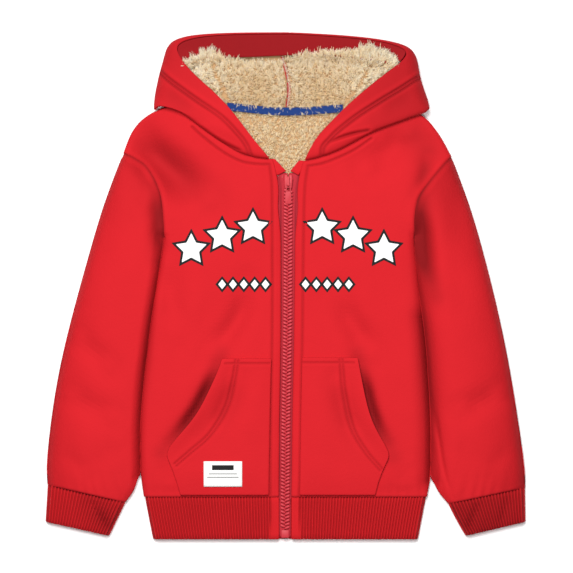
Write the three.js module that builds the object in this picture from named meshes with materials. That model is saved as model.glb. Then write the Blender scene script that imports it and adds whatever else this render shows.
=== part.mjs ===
// Child's zip-up hoodie in thick brushed fleece with a long pile lining, laid flat on its back.
// Units are millimetres. Seen from above, +X is to the right, +Y is towards the hood, and +Z is up
// from the table. "left" and "right" in names are as seen from above, with the hood away from you.
import * as THREE from 'three';

const { clamp, lerp, smoothstep } = THREE.MathUtils;

// Driving sizes of the layers
const SEAM_GAP = 0.5; // between two pieces that are sewn together
const BODY_HEIGHT = 16.5; // top of the front panels at the middle of each panel
const SIDE_FOLD_HEIGHT = 7.5; // height of the side seam, where front and back meet
const SIDE_FOLD_WIDTH = 11; // how far in from the side the front starts to round over
const FRONT_WALL = 6.8; // fleece with its own pile lining, which never shows on the fronts
const EDGE_WALL = 3; // the same cloth where a seam presses it thin
const SHELL_WALL = 2.4; // brushed fleece alone
const HOOD_WALL = 3; // fleece of the hood, a little thicker at its hems
const LAYER_GAP = 3.4; // air between the two walls of a flattened tube
const LINING_FLOOR = 3; // underside of the back lining, just clear of the back panel
const LINING_TOP = 6.9; // the back lining where the fronts press on it
const LINING_NECK_TOP = 9.4; // its pile where it stands free in the neck opening
const RIB_HEIGHT = 11; // hem rib, both walls together
const CUFF_HEIGHT = 10.6;
const RIB_RELIEF = 0.9; // depth of a rib's groove
const PLAIN_STRIP = 10; // width of the plain strip beside the zip, which runs on down through the hem rib
const HEM_RIBS = 46; // ribs on each half of the front hem
const CUFF_RIBS = 24; // ribs on the upper face of each cuff
const SLEEVE_HEIGHT = 16.5;
const POCKET_WALL = 2.4;
const POCKET_GAP = 1.3;
const POCKET_MOUTH = 2.6; // how far a pocket's mouth stands away from the front
const HOOD_HEIGHT = 24; // top of the turned-back sides of the hood
const HOOD_EDGE_HEIGHT = 17.6; // where the hood's lower edge rests on the fronts
const FACING_SLOPE = 0.35;

// Heights in the zip
const TAPE_LOW = 8;
const TAPE_HIGH = 9;
const CHAIN_HIGH = 11.6;
const SLIDER_HIGH = 13.4;

// Outline of the body from the hem seam up to the underarm. zip* is the front's edge beside the zip.
const LEFT_SIDE = [
  { y: -252.5, side: -170.5, zip: -8 },
  { y: -240, side: -172.5, zip: -8 },
  { y: -225.5, side: -174, zip: -7.8 },
  { y: -169, side: -174.5, zip: -7.5 },
  { y: -114, side: -170.5, zip: -6.5 },
  { y: -77, side: -166, zip: -6 },
  { y: -41, side: -161.5, zip: -5.5 },
  { y: 8.5, side: -153.5, zip: -5.5 },
  { y: 60, side: -146, zip: -5.5 },
];
const RIGHT_SIDE = [
  { y: -252.5, side: 170.5, zip: 7 },
  { y: -240, side: 172.5, zip: 7.2 },
  { y: -225.5, side: 174.5, zip: 7.5 },
  { y: -169, side: 175, zip: 8 },
  { y: -114, side: 172, zip: 9 },
  { y: -77, side: 169.5, zip: 10 },
  { y: -41, side: 165.5, zip: 10.5 },
  { y: 8.5, side: 158.5, zip: 11 },
  { y: 60, side: 155, zip: 11.5 },
];

// Armhole seams, from the underarm to the shoulder point
const LEFT_ARMHOLE = [
  { x: -146, y: 60 }, { x: -146, y: 75 }, { x: -150.5, y: 112 },
  { x: -166, y: 141.5 }, { x: -181, y: 153 }, { x: -195, y: 160 },
];
const RIGHT_ARMHOLE = [
  { x: 155, y: 60 }, { x: 154.5, y: 82 }, { x: 159, y: 105 },
  { x: 172, y: 124 }, { x: 187, y: 142.5 }, { x: 199.5, y: 156 },
];

// Shoulder folds, from the shoulder point in to the neck, which the hood hides
const LEFT_SHOULDER = [
  { x: -195, y: 160 }, { x: -190, y: 175 }, { x: -184, y: 187 }, { x: -176, y: 199 },
  { x: -160, y: 210 }, { x: -139, y: 218 }, { x: -122, y: 223.5 },
];
const RIGHT_SHOULDER = [
  { x: 199.5, y: 156 }, { x: 190, y: 175 }, { x: 182, y: 187 }, { x: 172, y: 199 },
  { x: 163, y: 208 }, { x: 142, y: 217 }, { x: 124, y: 223.5 },
];

// Front necklines, from the top of the zip round to the neck point, tucked just under the hood
const LEFT_NECK = [
  { x: -15, y: 152 }, { x: -30, y: 155.5 }, { x: -48, y: 158.5 }, { x: -78, y: 174 },
  { x: -101, y: 192 }, { x: -108, y: 203 }, { x: -112, y: 214 }, { x: -114, y: 222 },
];
const RIGHT_NECK = [
  { x: 21, y: 150 }, { x: 34, y: 154.5 }, { x: 49, y: 159.5 }, { x: 81, y: 175 },
  { x: 103, y: 190 }, { x: 110, y: 203 }, { x: 114, y: 214 }, { x: 116, y: 222 },
];

// Back neckline, from the left neck point to the right one
const BACK_NECK = [
  { x: -114, y: 222 }, { x: -97, y: 217 }, { x: -68, y: 212.5 }, { x: -33, y: 208.5 }, { x: 2, y: 206.5 },
  { x: 37, y: 208 }, { x: 69, y: 211 }, { x: 99, y: 217 }, { x: 116, y: 222 },
];

// Sleeves from the armhole to the cuff seam: outer and inner fold, and height of the flattened tube
const LEFT_SLEEVE = [
  { outX: -195, outY: 160, inX: -146, inY: 60, high: 16 },
  { outX: -208, outY: 127, inX: -151.5, inY: 29, high: 16.5 },
  { outX: -225, outY: 79, inX: -158, inY: -13, high: 16.5 },
  { outX: -242, outY: 19, inX: -166, inY: -68.5, high: 16.5 },
  { outX: -258.5, outY: -41, inX: -171.7, inY: -116.5, high: 16.5 },
  { outX: -273, outY: -101, inX: -175.2, inY: -164.5, high: 16.5 },
  { outX: -282.5, outY: -161, inX: -175.7, inY: -203, high: 16.5 },
  { outX: -287.5, outY: -209, inX: -176.2, inY: -231, high: 15.5 },
  { outX: -287.5, outY: -226, inX: -182.5, inY: -248, high: 14.5 },
  { outX: -286.5, outY: -238, inX: -192, inY: -259.5, high: 12.6 },
];
const RIGHT_SLEEVE = [
  { outX: 199.5, outY: 156, inX: 155, inY: 60, high: 16 },
  { outX: 210.5, outY: 127, inX: 158, inY: 33, high: 16.5 },
  { outX: 227.5, outY: 79, inX: 162.7, inY: -13, high: 16.5 },
  { outX: 244, outY: 19, inX: 169.4, inY: -66, high: 16.5 },
  { outX: 258.5, outY: -41, inX: 173.2, inY: -116.5, high: 16.5 },
  { outX: 270.5, outY: -101, inX: 175.7, inY: -164.5, high: 16.5 },
  { outX: 280, outY: -161, inX: 175.8, inY: -203, high: 16.5 },
  { outX: 287, outY: -209, inX: 175.6, inY: -233, high: 15.5 },
  { outX: 288.5, outY: -228, inX: 184.5, inY: -250, high: 14.5 },
  { outX: 288.5, outY: -241.5, inX: 195, inY: -261, high: 12.6 },
];

// Cuffs from the seam to the open end
const LEFT_CUFF = [
  { outX: -286.3, outY: -238.7, inX: -192.3, inY: -260.2, high: CUFF_HEIGHT },
  { outX: -287.5, outY: -262, inX: -202.5, inY: -281, high: CUFF_HEIGHT + 0.6 },
  { outX: -289, outY: -283.5, inX: -212, inY: -300.5, high: CUFF_HEIGHT },
];
const RIGHT_CUFF = [
  { outX: 288.3, outY: -242.2, inX: 195.4, inY: -261.7, high: CUFF_HEIGHT },
  { outX: 288.5, outY: -263, inX: 205.5, inY: -282, high: CUFF_HEIGHT + 0.6 },
  { outX: 289, outY: -283.5, inX: 216.5, inY: -300.5, high: CUFF_HEIGHT },
];

// Hem rib, from its seam to the bottom edge
const HEM_RIB = [
  { y: -253.2, left: -170, right: 170, zipLeft: -8, zipRight: 7 },
  { y: -278, left: -165.5, right: 165, zipLeft: -8, zipRight: 7 },
  { y: -304.5, left: -160, right: 160, zipLeft: -8, zipRight: 7 },
];

// Kangaroo pockets, from the top edge down: inner edge beside the zip and outer edge round the mouth
const LEFT_POCKET = [
  { y: -87, near: -17, far: -76, mouth: 0 },
  { y: -100, near: -17.5, far: -80, mouth: 0.8 },
  { y: -126, near: -18, far: -92, mouth: 1 },
  { y: -150, near: -18.5, far: -104, mouth: 1 },
  { y: -171.5, near: -19, far: -120.5, mouth: 1 },
  { y: -189.5, near: -19, far: -137, mouth: 0.8 },
  { y: -203, near: -19.5, far: -143, mouth: 0.3 },
  { y: -213, near: -19.5, far: -138, mouth: 0 },
  { y: -231, near: -20, far: -131.5, mouth: 0 },
  { y: -251, near: -20, far: -126, mouth: 0 },
];
const RIGHT_POCKET = [
  { y: -86, near: 20, far: 86.5, mouth: 0 },
  { y: -100, near: 19.5, far: 89, mouth: 0.8 },
  { y: -126, near: 19, far: 94, mouth: 1 },
  { y: -150, near: 18.5, far: 99.5, mouth: 1 },
  { y: -171.5, near: 18, far: 108, mouth: 1 },
  { y: -190, near: 18, far: 119, mouth: 0.8 },
  { y: -203, near: 17.5, far: 125, mouth: 0.3 },
  { y: -215, near: 17.5, far: 119, mouth: 0 },
  { y: -231, near: 17.5, far: 112.5, mouth: 0 },
  { y: -251, near: 17, far: 107.5, mouth: 0 },
];
const LABEL = { left: -98, right: -52, low: -240.5, high: -210, thick: 0.8 };

// Hood: edge of the face opening, outer fold, and the centre seam underneath, from the neck to the top
const LEFT_HOOD = [
  { edgeX: -19, edgeY: 153, foldX: -158, foldY: 212, seamX: 2, seamY: 211 },
  { edgeX: -41, edgeY: 179, foldX: -158, foldY: 222, seamX: 2, seamY: 218 },
  { edgeX: -59, edgeY: 204, foldX: -156.5, foldY: 233, seamX: 2, seamY: 227 },
  { edgeX: -81, edgeY: 229, foldX: -154, foldY: 245, seamX: 2, seamY: 235 },
  { edgeX: -106, edgeY: 250, foldX: -151, foldY: 258, seamX: 2, seamY: 245 },
  { edgeX: -123, edgeY: 268.5, foldX: -147, foldY: 271, seamX: 2, seamY: 254 },
  { edgeX: -131, edgeY: 282, foldX: -144, foldY: 284, seamX: 3, seamY: 264 },
  { edgeX: -128, edgeY: 291, foldX: -137, foldY: 295, seamX: 3, seamY: 271 },
  { edgeX: -109, edgeY: 298, foldX: -116, foldY: 301.5, seamX: 4, seamY: 277 },
  { edgeX: -73, edgeY: 301, foldX: -77, foldY: 304, seamX: 5, seamY: 282 },
  { edgeX: -33, edgeY: 302, foldX: -36, foldY: 304.5, seamX: 5, seamY: 286 },
  { edgeX: 4.6, edgeY: 302, foldX: 4.6, foldY: 304.5, seamX: 4.6, seamY: 289 },
];
const RIGHT_HOOD = [
  { edgeX: 23, edgeY: 151, foldX: 173, foldY: 213, seamX: 2, seamY: 211 },
  { edgeX: 37, edgeY: 179, foldX: 172, foldY: 220, seamX: 2, seamY: 218 },
  { edgeX: 53, edgeY: 195, foldX: 170, foldY: 227, seamX: 2, seamY: 227 },
  { edgeX: 73, edgeY: 216, foldX: 167, foldY: 235, seamX: 2, seamY: 235 },
  { edgeX: 101, edgeY: 240, foldX: 163, foldY: 247, seamX: 2, seamY: 245 },
  { edgeX: 124, edgeY: 258, foldX: 160.5, foldY: 259, seamX: 2, seamY: 254 },
  { edgeX: 140, edgeY: 269, foldX: 159, foldY: 270.5, seamX: 3, seamY: 264 },
  { edgeX: 146, edgeY: 279, foldX: 155, foldY: 281, seamX: 3, seamY: 271 },
  { edgeX: 139, edgeY: 287, foldX: 145, foldY: 290, seamX: 4, seamY: 277 },
  { edgeX: 107, edgeY: 295, foldX: 113, foldY: 297, seamX: 5, seamY: 282 },
  { edgeX: 59, edgeY: 299, foldX: 62, foldY: 302, seamX: 5, seamY: 286 },
  { edgeX: 5.4, edgeY: 302, foldX: 5.4, foldY: 304.5, seamX: 5.4, seamY: 289 },
];

// Lower edge of the hood where it lies over the fronts, from the zip to the outer fold
const LEFT_HOOD_FOOT = [
  { x: -19, y: 153 }, { x: -46, y: 154 }, { x: -73, y: 168 }, { x: -99, y: 188 }, { x: -115, y: 202 },
  { x: -127, y: 209 }, { x: -141, y: 216 }, { x: -151, y: 216.5 }, { x: -158, y: 212 },
];
const RIGHT_HOOD_FOOT = [
  { x: 23, y: 151 }, { x: 47, y: 155 }, { x: 83, y: 170 }, { x: 100, y: 184 }, { x: 118, y: 190 },
  { x: 137, y: 197 }, { x: 154, y: 203 }, { x: 166, y: 206 }, { x: 173, y: 213 },
];
// Where the hood's under layer meets the back neckline, from the outer fold to the centre seam
const LEFT_HOOD_NECK = [
  { x: -158, y: 212 }, { x: -146, y: 224 }, { x: -118, y: 230 }, { x: -97, y: 224 },
  { x: -68, y: 218.5 }, { x: -33, y: 214 }, { x: 2, y: 212 },
];
const RIGHT_HOOD_NECK = [
  { x: 173, y: 213 }, { x: 160, y: 224 }, { x: 122, y: 230 }, { x: 99, y: 224 },
  { x: 69, y: 217.5 }, { x: 37, y: 213.5 }, { x: 2, y: 212 },
];

// Facing inside the top of the hood's edge: its edge side and its pile side
const FACING = [
  { edgeX: -125, edgeY: 273, pileX: -117, pileY: 266 },
  { edgeX: -128, edgeY: 283, pileX: -110, pileY: 268 },
  { edgeX: -124.5, edgeY: 289.5, pileX: -105, pileY: 270 },
  { edgeX: -108, edgeY: 296, pileX: -97, pileY: 272 },
  { edgeX: -73, edgeY: 299.5, pileX: -70, pileY: 274 },
  { edgeX: -33, edgeY: 300.5, pileX: -33, pileY: 275 },
  { edgeX: 10, edgeY: 300.5, pileX: 10, pileY: 277 },
  { edgeX: 58.5, edgeY: 297.5, pileX: 56, pileY: 276 },
  { edgeX: 106.5, edgeY: 293.5, pileX: 97, pileY: 271 },
  { edgeX: 136.5, edgeY: 285.5, pileX: 116, pileY: 268 },
  { edgeX: 143, edgeY: 279, pileX: 126, pileY: 265 },
  { edgeX: 137.5, edgeY: 271, pileX: 127.5, pileY: 263.5 },
];

// Soft folds pressed into the top cloth: the pieces they are on, their ends, half-width and depth.
// A negative depth is a ridge.
const FOLDS = [
  { on: 'body', x1: -168, y1: 182, x2: -112, y2: 128, wide: 14, deep: 3.2 },
  { on: 'body', x1: 172, y1: 166, x2: 160, y2: 108, wide: 11, deep: 2.8 },
  { on: 'body', x1: -70, y1: -36, x2: -112, y2: -86, wide: 15, deep: 1.2 },
  { on: 'body', x1: -52, y1: -108, x2: -86, y2: -184, wide: 10, deep: 1.9 },
  { on: 'body', x1: 60, y1: -112, x2: 76, y2: -176, wide: 11, deep: 1.2 },
  { on: 'body', x1: -92, y1: 120, x2: -70, y2: 30, wide: 26, deep: -0.9 },
  { on: 'body', x1: 96, y1: 110, x2: 84, y2: 20, wide: 28, deep: -0.8 },
  { on: 'front', x1: -86, y1: -98, x2: -130, y2: -178, wide: 8, deep: 3 },
  { on: 'front', x1: 93, y1: -98, x2: 121, y2: -182, wide: 8, deep: 3 },
  { on: 'sleeve', x1: -156, y1: 116, x2: -152, y2: 44, wide: 9, deep: 4.6 },
  { on: 'sleeve', x1: 163, y1: 98, x2: 175, y2: 2, wide: 10, deep: 4.8 },
  { on: 'sleeve', x1: -252, y1: -66, x2: -206, y2: -100, wide: 16, deep: 1 },
  { on: 'sleeve', x1: 262, y1: -126, x2: 212, y2: -148, wide: 15, deep: 1 },
];

// A row part-way along a table, on a smooth curve through each of its columns
function rowAt(table, t) {
  const last = table.length - 1;
  const i = clamp(Math.floor(t), 0, last - 1);
  const f = t - i;
  const row = {};
  for (const key of Object.keys(table[0])) {
    const [p0, p1, p2, p3] = [-1, 0, 1, 2].map((k) => table[clamp(i + k, 0, last)][key]);
    row[key] = 0.5 * (2 * p1 + (p2 - p0) * f + (2 * p0 - 5 * p1 + 4 * p2 - p3) * f * f
      + (3 * p1 - p0 - 3 * p2 + p3) * f * f * f);
  }
  return row;
}

// The same, found by the value of one rising or falling column
function rowWhere(table, key, value) {
  const falling = table[0][key] > table[table.length - 1][key];
  let i = 0;
  while (i < table.length - 2 && (falling ? table[i + 1][key] > value : table[i + 1][key] < value)) i += 1;
  const f = clamp((value - table[i][key]) / (table[i + 1][key] - table[i][key]), 0, 1);
  return rowAt(table, i + f);
}

// A point a share of the way along a line of table points
function along(points, share) {
  const { x, y } = rowAt(points, share * (points.length - 1));
  return new THREE.Vector2(x, y);
}

// Height of a quarter round at a share of its width: 0 at the edge, 1 where it meets the flat
const round = (share) => Math.sqrt(Math.max(0, 1 - (1 - clamp(share, 0, 1)) ** 2));

const range = (count) => Array.from({ length: count }, (_, i) => i);

// Depth of the folds at a place on a kind of piece. A pocket has the body's folds, but not those
// that are only on the front behind it.
function foldDepth(x, y, kinds) {
  let depth = 0;
  for (const f of FOLDS.filter(({ on }) => kinds.includes(on))) {
    const dx = f.x2 - f.x1;
    const dy = f.y2 - f.y1;
    const t = clamp(((x - f.x1) * dx + (y - f.y1) * dy) / (dx * dx + dy * dy), 0, 1);
    const away = Math.hypot(x - f.x1 - t * dx, y - f.y1 - t * dy);
    const ends = 0.35 + 0.65 * Math.sin(Math.PI * clamp(t, 0.02, 0.98));
    depth += f.deep * ends * Math.exp(-((away / f.wide) ** 2));
  }
  return depth;
}

// Makes one closed solid between an outer and an inner skin of points, each a list of rows.
// A tube's rows close on themselves. Faces are turned to point out.
function wall(name, outer, inner, finish, isTube = false) {
  const rows = outer.length;
  const columns = outer[0].length;
  const points = [...outer.flat(), ...inner.flat()];
  const id = (skin, r, c) => skin * rows * columns + r * columns + (c % columns);
  const quads = [];
  const lastColumn = isTube ? columns : columns - 1;
  for (let c = 0; c < lastColumn; c += 1) {
    for (let r = 0; r < rows - 1; r += 1) {
      quads.push([id(0, r, c), id(0, r, c + 1), id(0, r + 1, c + 1), id(0, r + 1, c)]);
      quads.push([id(1, r, c), id(1, r + 1, c), id(1, r + 1, c + 1), id(1, r, c + 1)]);
    }
    quads.push([id(0, 0, c + 1), id(0, 0, c), id(1, 0, c), id(1, 0, c + 1)]);
    const end = rows - 1;
    quads.push([id(0, end, c), id(0, end, c + 1), id(1, end, c + 1), id(1, end, c)]);
  }
  if (!isTube) {
    const end = columns - 1;
    for (let r = 0; r < rows - 1; r += 1) {
      quads.push([id(0, r, 0), id(0, r + 1, 0), id(1, r + 1, 0), id(1, r, 0)]);
      quads.push([id(0, r + 1, end), id(0, r, end), id(1, r, end), id(1, r + 1, end)]);
    }
  }
  return solid(name, points, quads.flatMap(([a, b, c, d]) => [[a, b, c], [a, c, d]]), finish);
}

function solid(name, points, triangles, finish) {
  let volume = 0;
  const cross = new THREE.Vector3();
  for (const [a, b, c] of triangles) volume += points[a].dot(cross.crossVectors(points[b], points[c]));
  const order = volume < 0 ? ([a, b, c]) => [a, c, b] : (t) => t;
  const geometry = new THREE.BufferGeometry();
  geometry.setAttribute('position', new THREE.Float32BufferAttribute(points.flatMap((p) => p.toArray()), 3));
  geometry.setIndex(triangles.flatMap(order));
  geometry.computeVertexNormals();
  const mesh = new THREE.Mesh(geometry, finish);
  mesh.name = name;
  return mesh;
}

const at = (x, y, z) => new THREE.Vector3(x, y, z);

const finish = (color, roughness, metalness = 0) => new THREE.MeshStandardMaterial({ color, roughness, metalness });
const FLEECE = finish(0xd2222b, 0.85);
const RIB = finish(0xc01c26, 0.9);
const PILE = finish(0xe6d3a6, 0.95);
const TAPE_BLUE = finish(0x274a9c, 0.8);
const ZIP_TAPE = finish(0xb7212c, 0.85);
const ZIP_PLASTIC = finish(0xc4303c, 0.45);
const LABEL_WHITE = finish(0xf4f4f2, 0.7);

const SIDES = {
  left: {
    side: LEFT_SIDE, armhole: LEFT_ARMHOLE, shoulder: LEFT_SHOULDER, neck: LEFT_NECK,
    sleeve: LEFT_SLEEVE, cuff: LEFT_CUFF, pocket: LEFT_POCKET, hood: LEFT_HOOD,
    foot: LEFT_HOOD_FOOT, hoodNeck: LEFT_HOOD_NECK, out: -1,
  },
  right: {
    side: RIGHT_SIDE, armhole: RIGHT_ARMHOLE, shoulder: RIGHT_SHOULDER, neck: RIGHT_NECK,
    sleeve: RIGHT_SLEEVE, cuff: RIGHT_CUFF, pocket: RIGHT_POCKET, hood: RIGHT_HOOD,
    foot: RIGHT_HOOD_FOOT, hoodNeck: RIGHT_HOOD_NECK, out: 1,
  },
};

// Height of the zip dip, the hem dip and the neck dip under the full height of a front
function frontHeight(s, x, y, kinds = ['body', 'front']) {
  const zipX = rowWhere(s.side, 'y', y).zip;
  const fromZip = Math.abs(x - zipX);
  const zipDip = 3.6 * Math.exp(-((fromZip / 15) ** 2));
  const hemDip = 3.8 * Math.exp(-(((y - s.side[0].y) / 16) ** 2));
  const neckDip = 3.1 * smoothstep(y, 90, 158);
  return Math.max(BODY_HEIGHT - Math.max(zipDip, hemDip, neckDip) - foldDepth(x, y, kinds), 12.2);
}

// Stations up the edge of the body: side, then armhole, then shoulder. round is 0 at a fold and
// 1 where the edge is a seam to the sleeve.
const ARMHOLE_SHARES = [0, 0.05, 0.11, 0.2, 0.3, 0.4, 0.5, 0.65, 0.8, 0.89, 0.95, 1];
const ARMHOLE_END = 0.16; // share of an armhole over which its height rises from a fold

const armholeRise = (share) => round(Math.min(share, 1 - share) / ARMHOLE_END);

function bodyStations(s) {
  const stations = [0, 0.5, 1, 1.6, 2.3, 3, 3.6, 4.5, 5.5, 6.5, 7.4].map((t) => {
    const row = rowAt(s.side, t);
    return { out: new THREE.Vector2(row.side, row.y), in: new THREE.Vector2(row.zip, row.y), rise: 0 };
  });
  const zipTop = new THREE.Vector2(s.neck[0].x, s.neck[0].y);
  for (const share of ARMHOLE_SHARES) {
    const low = new THREE.Vector2(s.side.at(-1).zip, s.side.at(-1).y);
    const inside = share <= 0.5
      ? low.lerp(zipTop, share * 2)
      : along(s.neck.slice(0, 5), share * 2 - 1);
    if (share > 0.2 && share < 0.5) inside.x = lerp(s.side.at(-1).zip, zipTop.x, (share * 2) ** 3);
    stations.push({ out: along(s.armhole, share), in: inside, rise: armholeRise(share) });
  }
  for (const share of [0.2, 0.4, 0.6, 0.8, 1]) {
    stations.push({ out: along(s.shoulder, share), in: along(s.neck.slice(4), share), rise: 0 });
  }
  return stations;
}

// Shares across a panel, from its middle to its edge: even over the flat, then round the edge's curve
function acrossShares(flat, curve) {
  return [...range(flat).map((i) => ({ flat: i / flat, turn: 0 })),
    ...range(curve + 1).map((i) => ({ flat: 1, turn: (i / curve) * Math.PI / 2 }))];
}

// Points of one row of a wall that is flat and then rounds over at its edge. rise lifts the edge
// back to full height, so that it is a seam and not a fold.
function edgeRow(from, to, shares, width, heightAt, edgeHeight, rise, wallAt) {
  const direction = to.clone().sub(from);
  const length = direction.length();
  direction.divideScalar(length);
  const curve = Math.min(width, length * 0.45);
  return shares.map(({ flat, turn }) => {
    const distance = turn === 0 && flat < 1 ? flat * (length - curve) : length - curve * (1 - Math.sin(turn));
    const p = from.clone().addScaledVector(direction, distance);
    const top = heightAt(p.x, p.y);
    const drop = (top - edgeHeight) * (1 - rise) * (1 - Math.cos(turn));
    const lean = Math.sin(turn) * (1 - rise);
    const thick = wallAt(p.x, p.y, turn);
    const z = top - drop;
    const upright = Math.sqrt(1 - lean * lean);
    return {
      outer: at(p.x, p.y, z),
      inner: at(p.x - direction.x * lean * thick, p.y - direction.y * lean * thick, z - thick * upright),
    };
  });
}

function frontPanel(label) {
  const s = SIDES[label];
  const shares = acrossShares(7, 4);
  const rows = bodyStations(s).map((station) => edgeRow(
    station.in, station.out, shares, SIDE_FOLD_WIDTH, (x, y) => frontHeight(s, x, y),
    SIDE_FOLD_HEIGHT, station.rise,
    (x, y, turn) => {
      const thin = clamp(frontHeight(s, x, y) - 9.7, EDGE_WALL - 0.4, FRONT_WALL);
      return lerp(thin, EDGE_WALL - 0.4, Math.sin(turn) * (1 - station.rise * 0.6));
    },
  ));
  return wall(`front_${label}`, rows.map((r) => r.map((p) => p.outer)), rows.map((r) => r.map((p) => p.inner)), FLEECE);
}

// The back lies flat on the table and turns up at its sides to meet the fronts
function backPanel() {
  const left = bodyStations(SIDES.left);
  const right = bodyStations(SIDES.right);
  const turns = [0, 0.33, 0.66, 1].map((i) => i * Math.PI / 2);
  const rows = left.map((station, i) => {
    const shoulderShare = (i - (left.length - 1 - 5)) / 5;
    const last = shoulderShare > 0 ? shoulderShare : 0;
    const a = station.out;
    const b = right[i].out;
    const row = [];
    const edge = (end, other, rise) => {
      const direction = end.clone().sub(other).normalize();
      const room = Math.min(SIDE_FOLD_WIDTH, end.distanceTo(other) * 0.3);
      return turns.map((turn) => {
        const p = end.clone().addScaledVector(direction, -room * (1 - Math.sin(turn)));
        const z = (SIDE_FOLD_HEIGHT - SEAM_GAP) * (1 - rise) * (1 - Math.cos(turn));
        const lean = Math.sin(turn) * (1 - rise);
        return {
          outer: at(p.x, p.y, z),
          inner: at(p.x - direction.x * lean * SHELL_WALL, p.y - direction.y * lean * SHELL_WALL,
            z + SHELL_WALL * Math.sqrt(1 - lean * lean)),
        };
      });
    };
    const middle = [0.12, 0.25, 0.38, 0.5, 0.62, 0.75, 0.88].map((share) => {
      const straight = a.clone().lerp(b, share);
      const neck = along(BACK_NECK, share);
      const p = straight.lerp(neck, last ** 2);
      return { outer: at(p.x, p.y, 0), inner: at(p.x, p.y, SHELL_WALL) };
    });
    row.push(...edge(a, last > 0.5 ? along(BACK_NECK, 0.12) : b, station.rise).reverse(), ...middle);
    row.push(...edge(b, last > 0.5 ? along(BACK_NECK, 0.88) : a, right[i].rise));
    return row;
  });
  return wall('back_panel', rows.map((r) => r.map((p) => p.outer)), rows.map((r) => r.map((p) => p.inner)), FLEECE);
}

// The pile lining of the back shows in the neck opening and runs on down inside
const BACK_LINING = [
  { y: -248, left: -154, right: 154 },
  { y: -170, left: -156, right: 156 },
  { y: -90, left: -150, right: 152 },
  { y: 0, left: -138, right: 142 },
  { y: 60, left: -130, right: 138 },
  { y: 105, left: -128, right: 136 },
  { y: 135, left: -124, right: 130 },
  { y: 160, left: -118, right: 122 },
  { y: 182, left: -108, right: 112 },
  { y: 198, left: -100, right: 104 },
  { y: 205, left: -94, right: 97 },
];

function backLining() {
  const columns = 16;
  const rows = BACK_LINING.map((row, r) => range(columns + 1).map((c) => {
    const share = c / columns;
    const x = lerp(row.left, row.right, share);
    const neckLine = r === BACK_LINING.length - 1 ? 9 * (1 - Math.sin(Math.PI * share)) : 0;
    const halfOpening = lerp(4, 84, smoothstep(row.y, 125, 210));
    const inOpening = 1 - smoothstep(Math.abs(x - 2), halfOpening, halfOpening + 16);
    const high = lerp(LINING_TOP, LINING_NECK_TOP, inOpening * smoothstep(row.y, 128, 150));
    const tapeShelf = smoothstep(row.y, 199, 204) * 1.6;
    return { x, y: row.y + neckLine - (r === BACK_LINING.length - 1 ? 2 : 0), z: high - tapeShelf };
  }));
  return wall(
    'back_lining',
    rows.map((r) => r.map((p) => at(p.x, p.y, p.z))),
    rows.map((r) => r.map((p) => at(p.x, p.y, LINING_FLOOR))),
    PILE,
  );
}

// One flattened tube of a sleeve or cuff. upper and lower are shares from the inner to the outer fold.
function tubeRings(table, stations, upper, lower, options) {
  const { bend, outerWidth, innerWidth, relief, firstRise } = options;
  return stations.map((station) => {
    const row = rowAt(table, station);
    const inside = new THREE.Vector2(row.inX, row.inY);
    const outside = new THREE.Vector2(row.outX, row.outY);
    const length = inside.distanceTo(outside);
    const middleHeight = row.high / 2;
    const place = (share, isUpper) => {
      const p = inside.clone().lerp(outside, share).add(bend(share, station));
      const fromInside = share * length;
      const fromOutside = (1 - share) * length;
      const full = Math.min(round(fromInside / innerWidth), round(fromOutside / outerWidth));
      const high = isUpper && station === 0 && firstRise ? firstRise(share) : full;
      const pull = (1 - full) * EDGE_WALL;
      const towards = share < 0.5 ? outside.clone().sub(inside) : inside.clone().sub(outside);
      const q = p.clone().addScaledVector(towards.normalize(), pull);
      const fold = Math.min(SIDE_FOLD_HEIGHT, middleHeight + 0.5);
      const top = lerp(fold, row.high, high) - foldDepth(p.x, p.y, ['sleeve']) * high + relief(share) * full;
      const half = (LAYER_GAP / 2) * Math.min(1, full + 0.05);
      return isUpper
        ? { outer: at(p.x, p.y, top), inner: at(q.x, q.y, lerp(fold, middleHeight, full) + half) }
        : { outer: at(p.x, p.y, fold * (1 - full)), inner: at(q.x, q.y, lerp(fold, middleHeight, full) - half) };
    };
    return [...upper.map((share) => place(share, true)), ...lower.map((share) => place(share, false))];
  });
}

const SLEEVE_STATIONS = [0, 0.2, 0.45, 0.7, 1, 1.4, 2, 3, 4, 5, 6, 7, 8, 9]; // rows of the sleeve's table

function sleeve(label) {
  const s = SIDES[label];
  const straight = (share) => new THREE.Vector2(
    lerp(s.armhole[0].x, s.armhole.at(-1).x, share),
    lerp(s.armhole[0].y, s.armhole.at(-1).y, share),
  );
  const away = new THREE.Vector2(s.out * SEAM_GAP * 0.9, -SEAM_GAP * 0.9);
  const bend = (share, t) => along(s.armhole, share).sub(straight(share))
    .multiplyScalar((1 - t / s.sleeve.length) ** 3).add(t === 0 ? away : new THREE.Vector2());
  const rings = tubeRings(s.sleeve, SLEEVE_STATIONS, ARMHOLE_SHARES, ARMHOLE_SHARES.slice(1, -1).reverse(), {
    bend, outerWidth: 16, innerWidth: 24, relief: () => 0, firstRise: armholeRise,
  });
  return wall(`sleeve_${label}`, rings.map((r) => r.map((p) => p.outer)), rings.map((r) => r.map((p) => p.inner)), FLEECE, true);
}

// A crest and a groove for each rib
const ribShares = (ribs) => range(ribs * 2 + 1).map((i) => i / (ribs * 2));
const ribRelief = (ribs) => (share) => (Math.round(share * ribs * 2) % 2 === 0 ? -RIB_RELIEF : 0);

function cuff(label) {
  const rings = tubeRings(SIDES[label].cuff, range(3), ribShares(CUFF_RIBS), [0.93, 0.8, 0.6, 0.4, 0.2, 0.07], {
    bend: () => new THREE.Vector2(), outerWidth: 8, innerWidth: 8, relief: ribRelief(CUFF_RIBS),
  });
  return wall(`cuff_${label}`, rings.map((r) => r.map((p) => p.outer)), rings.map((r) => r.map((p) => p.inner)), RIB, true);
}

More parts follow.
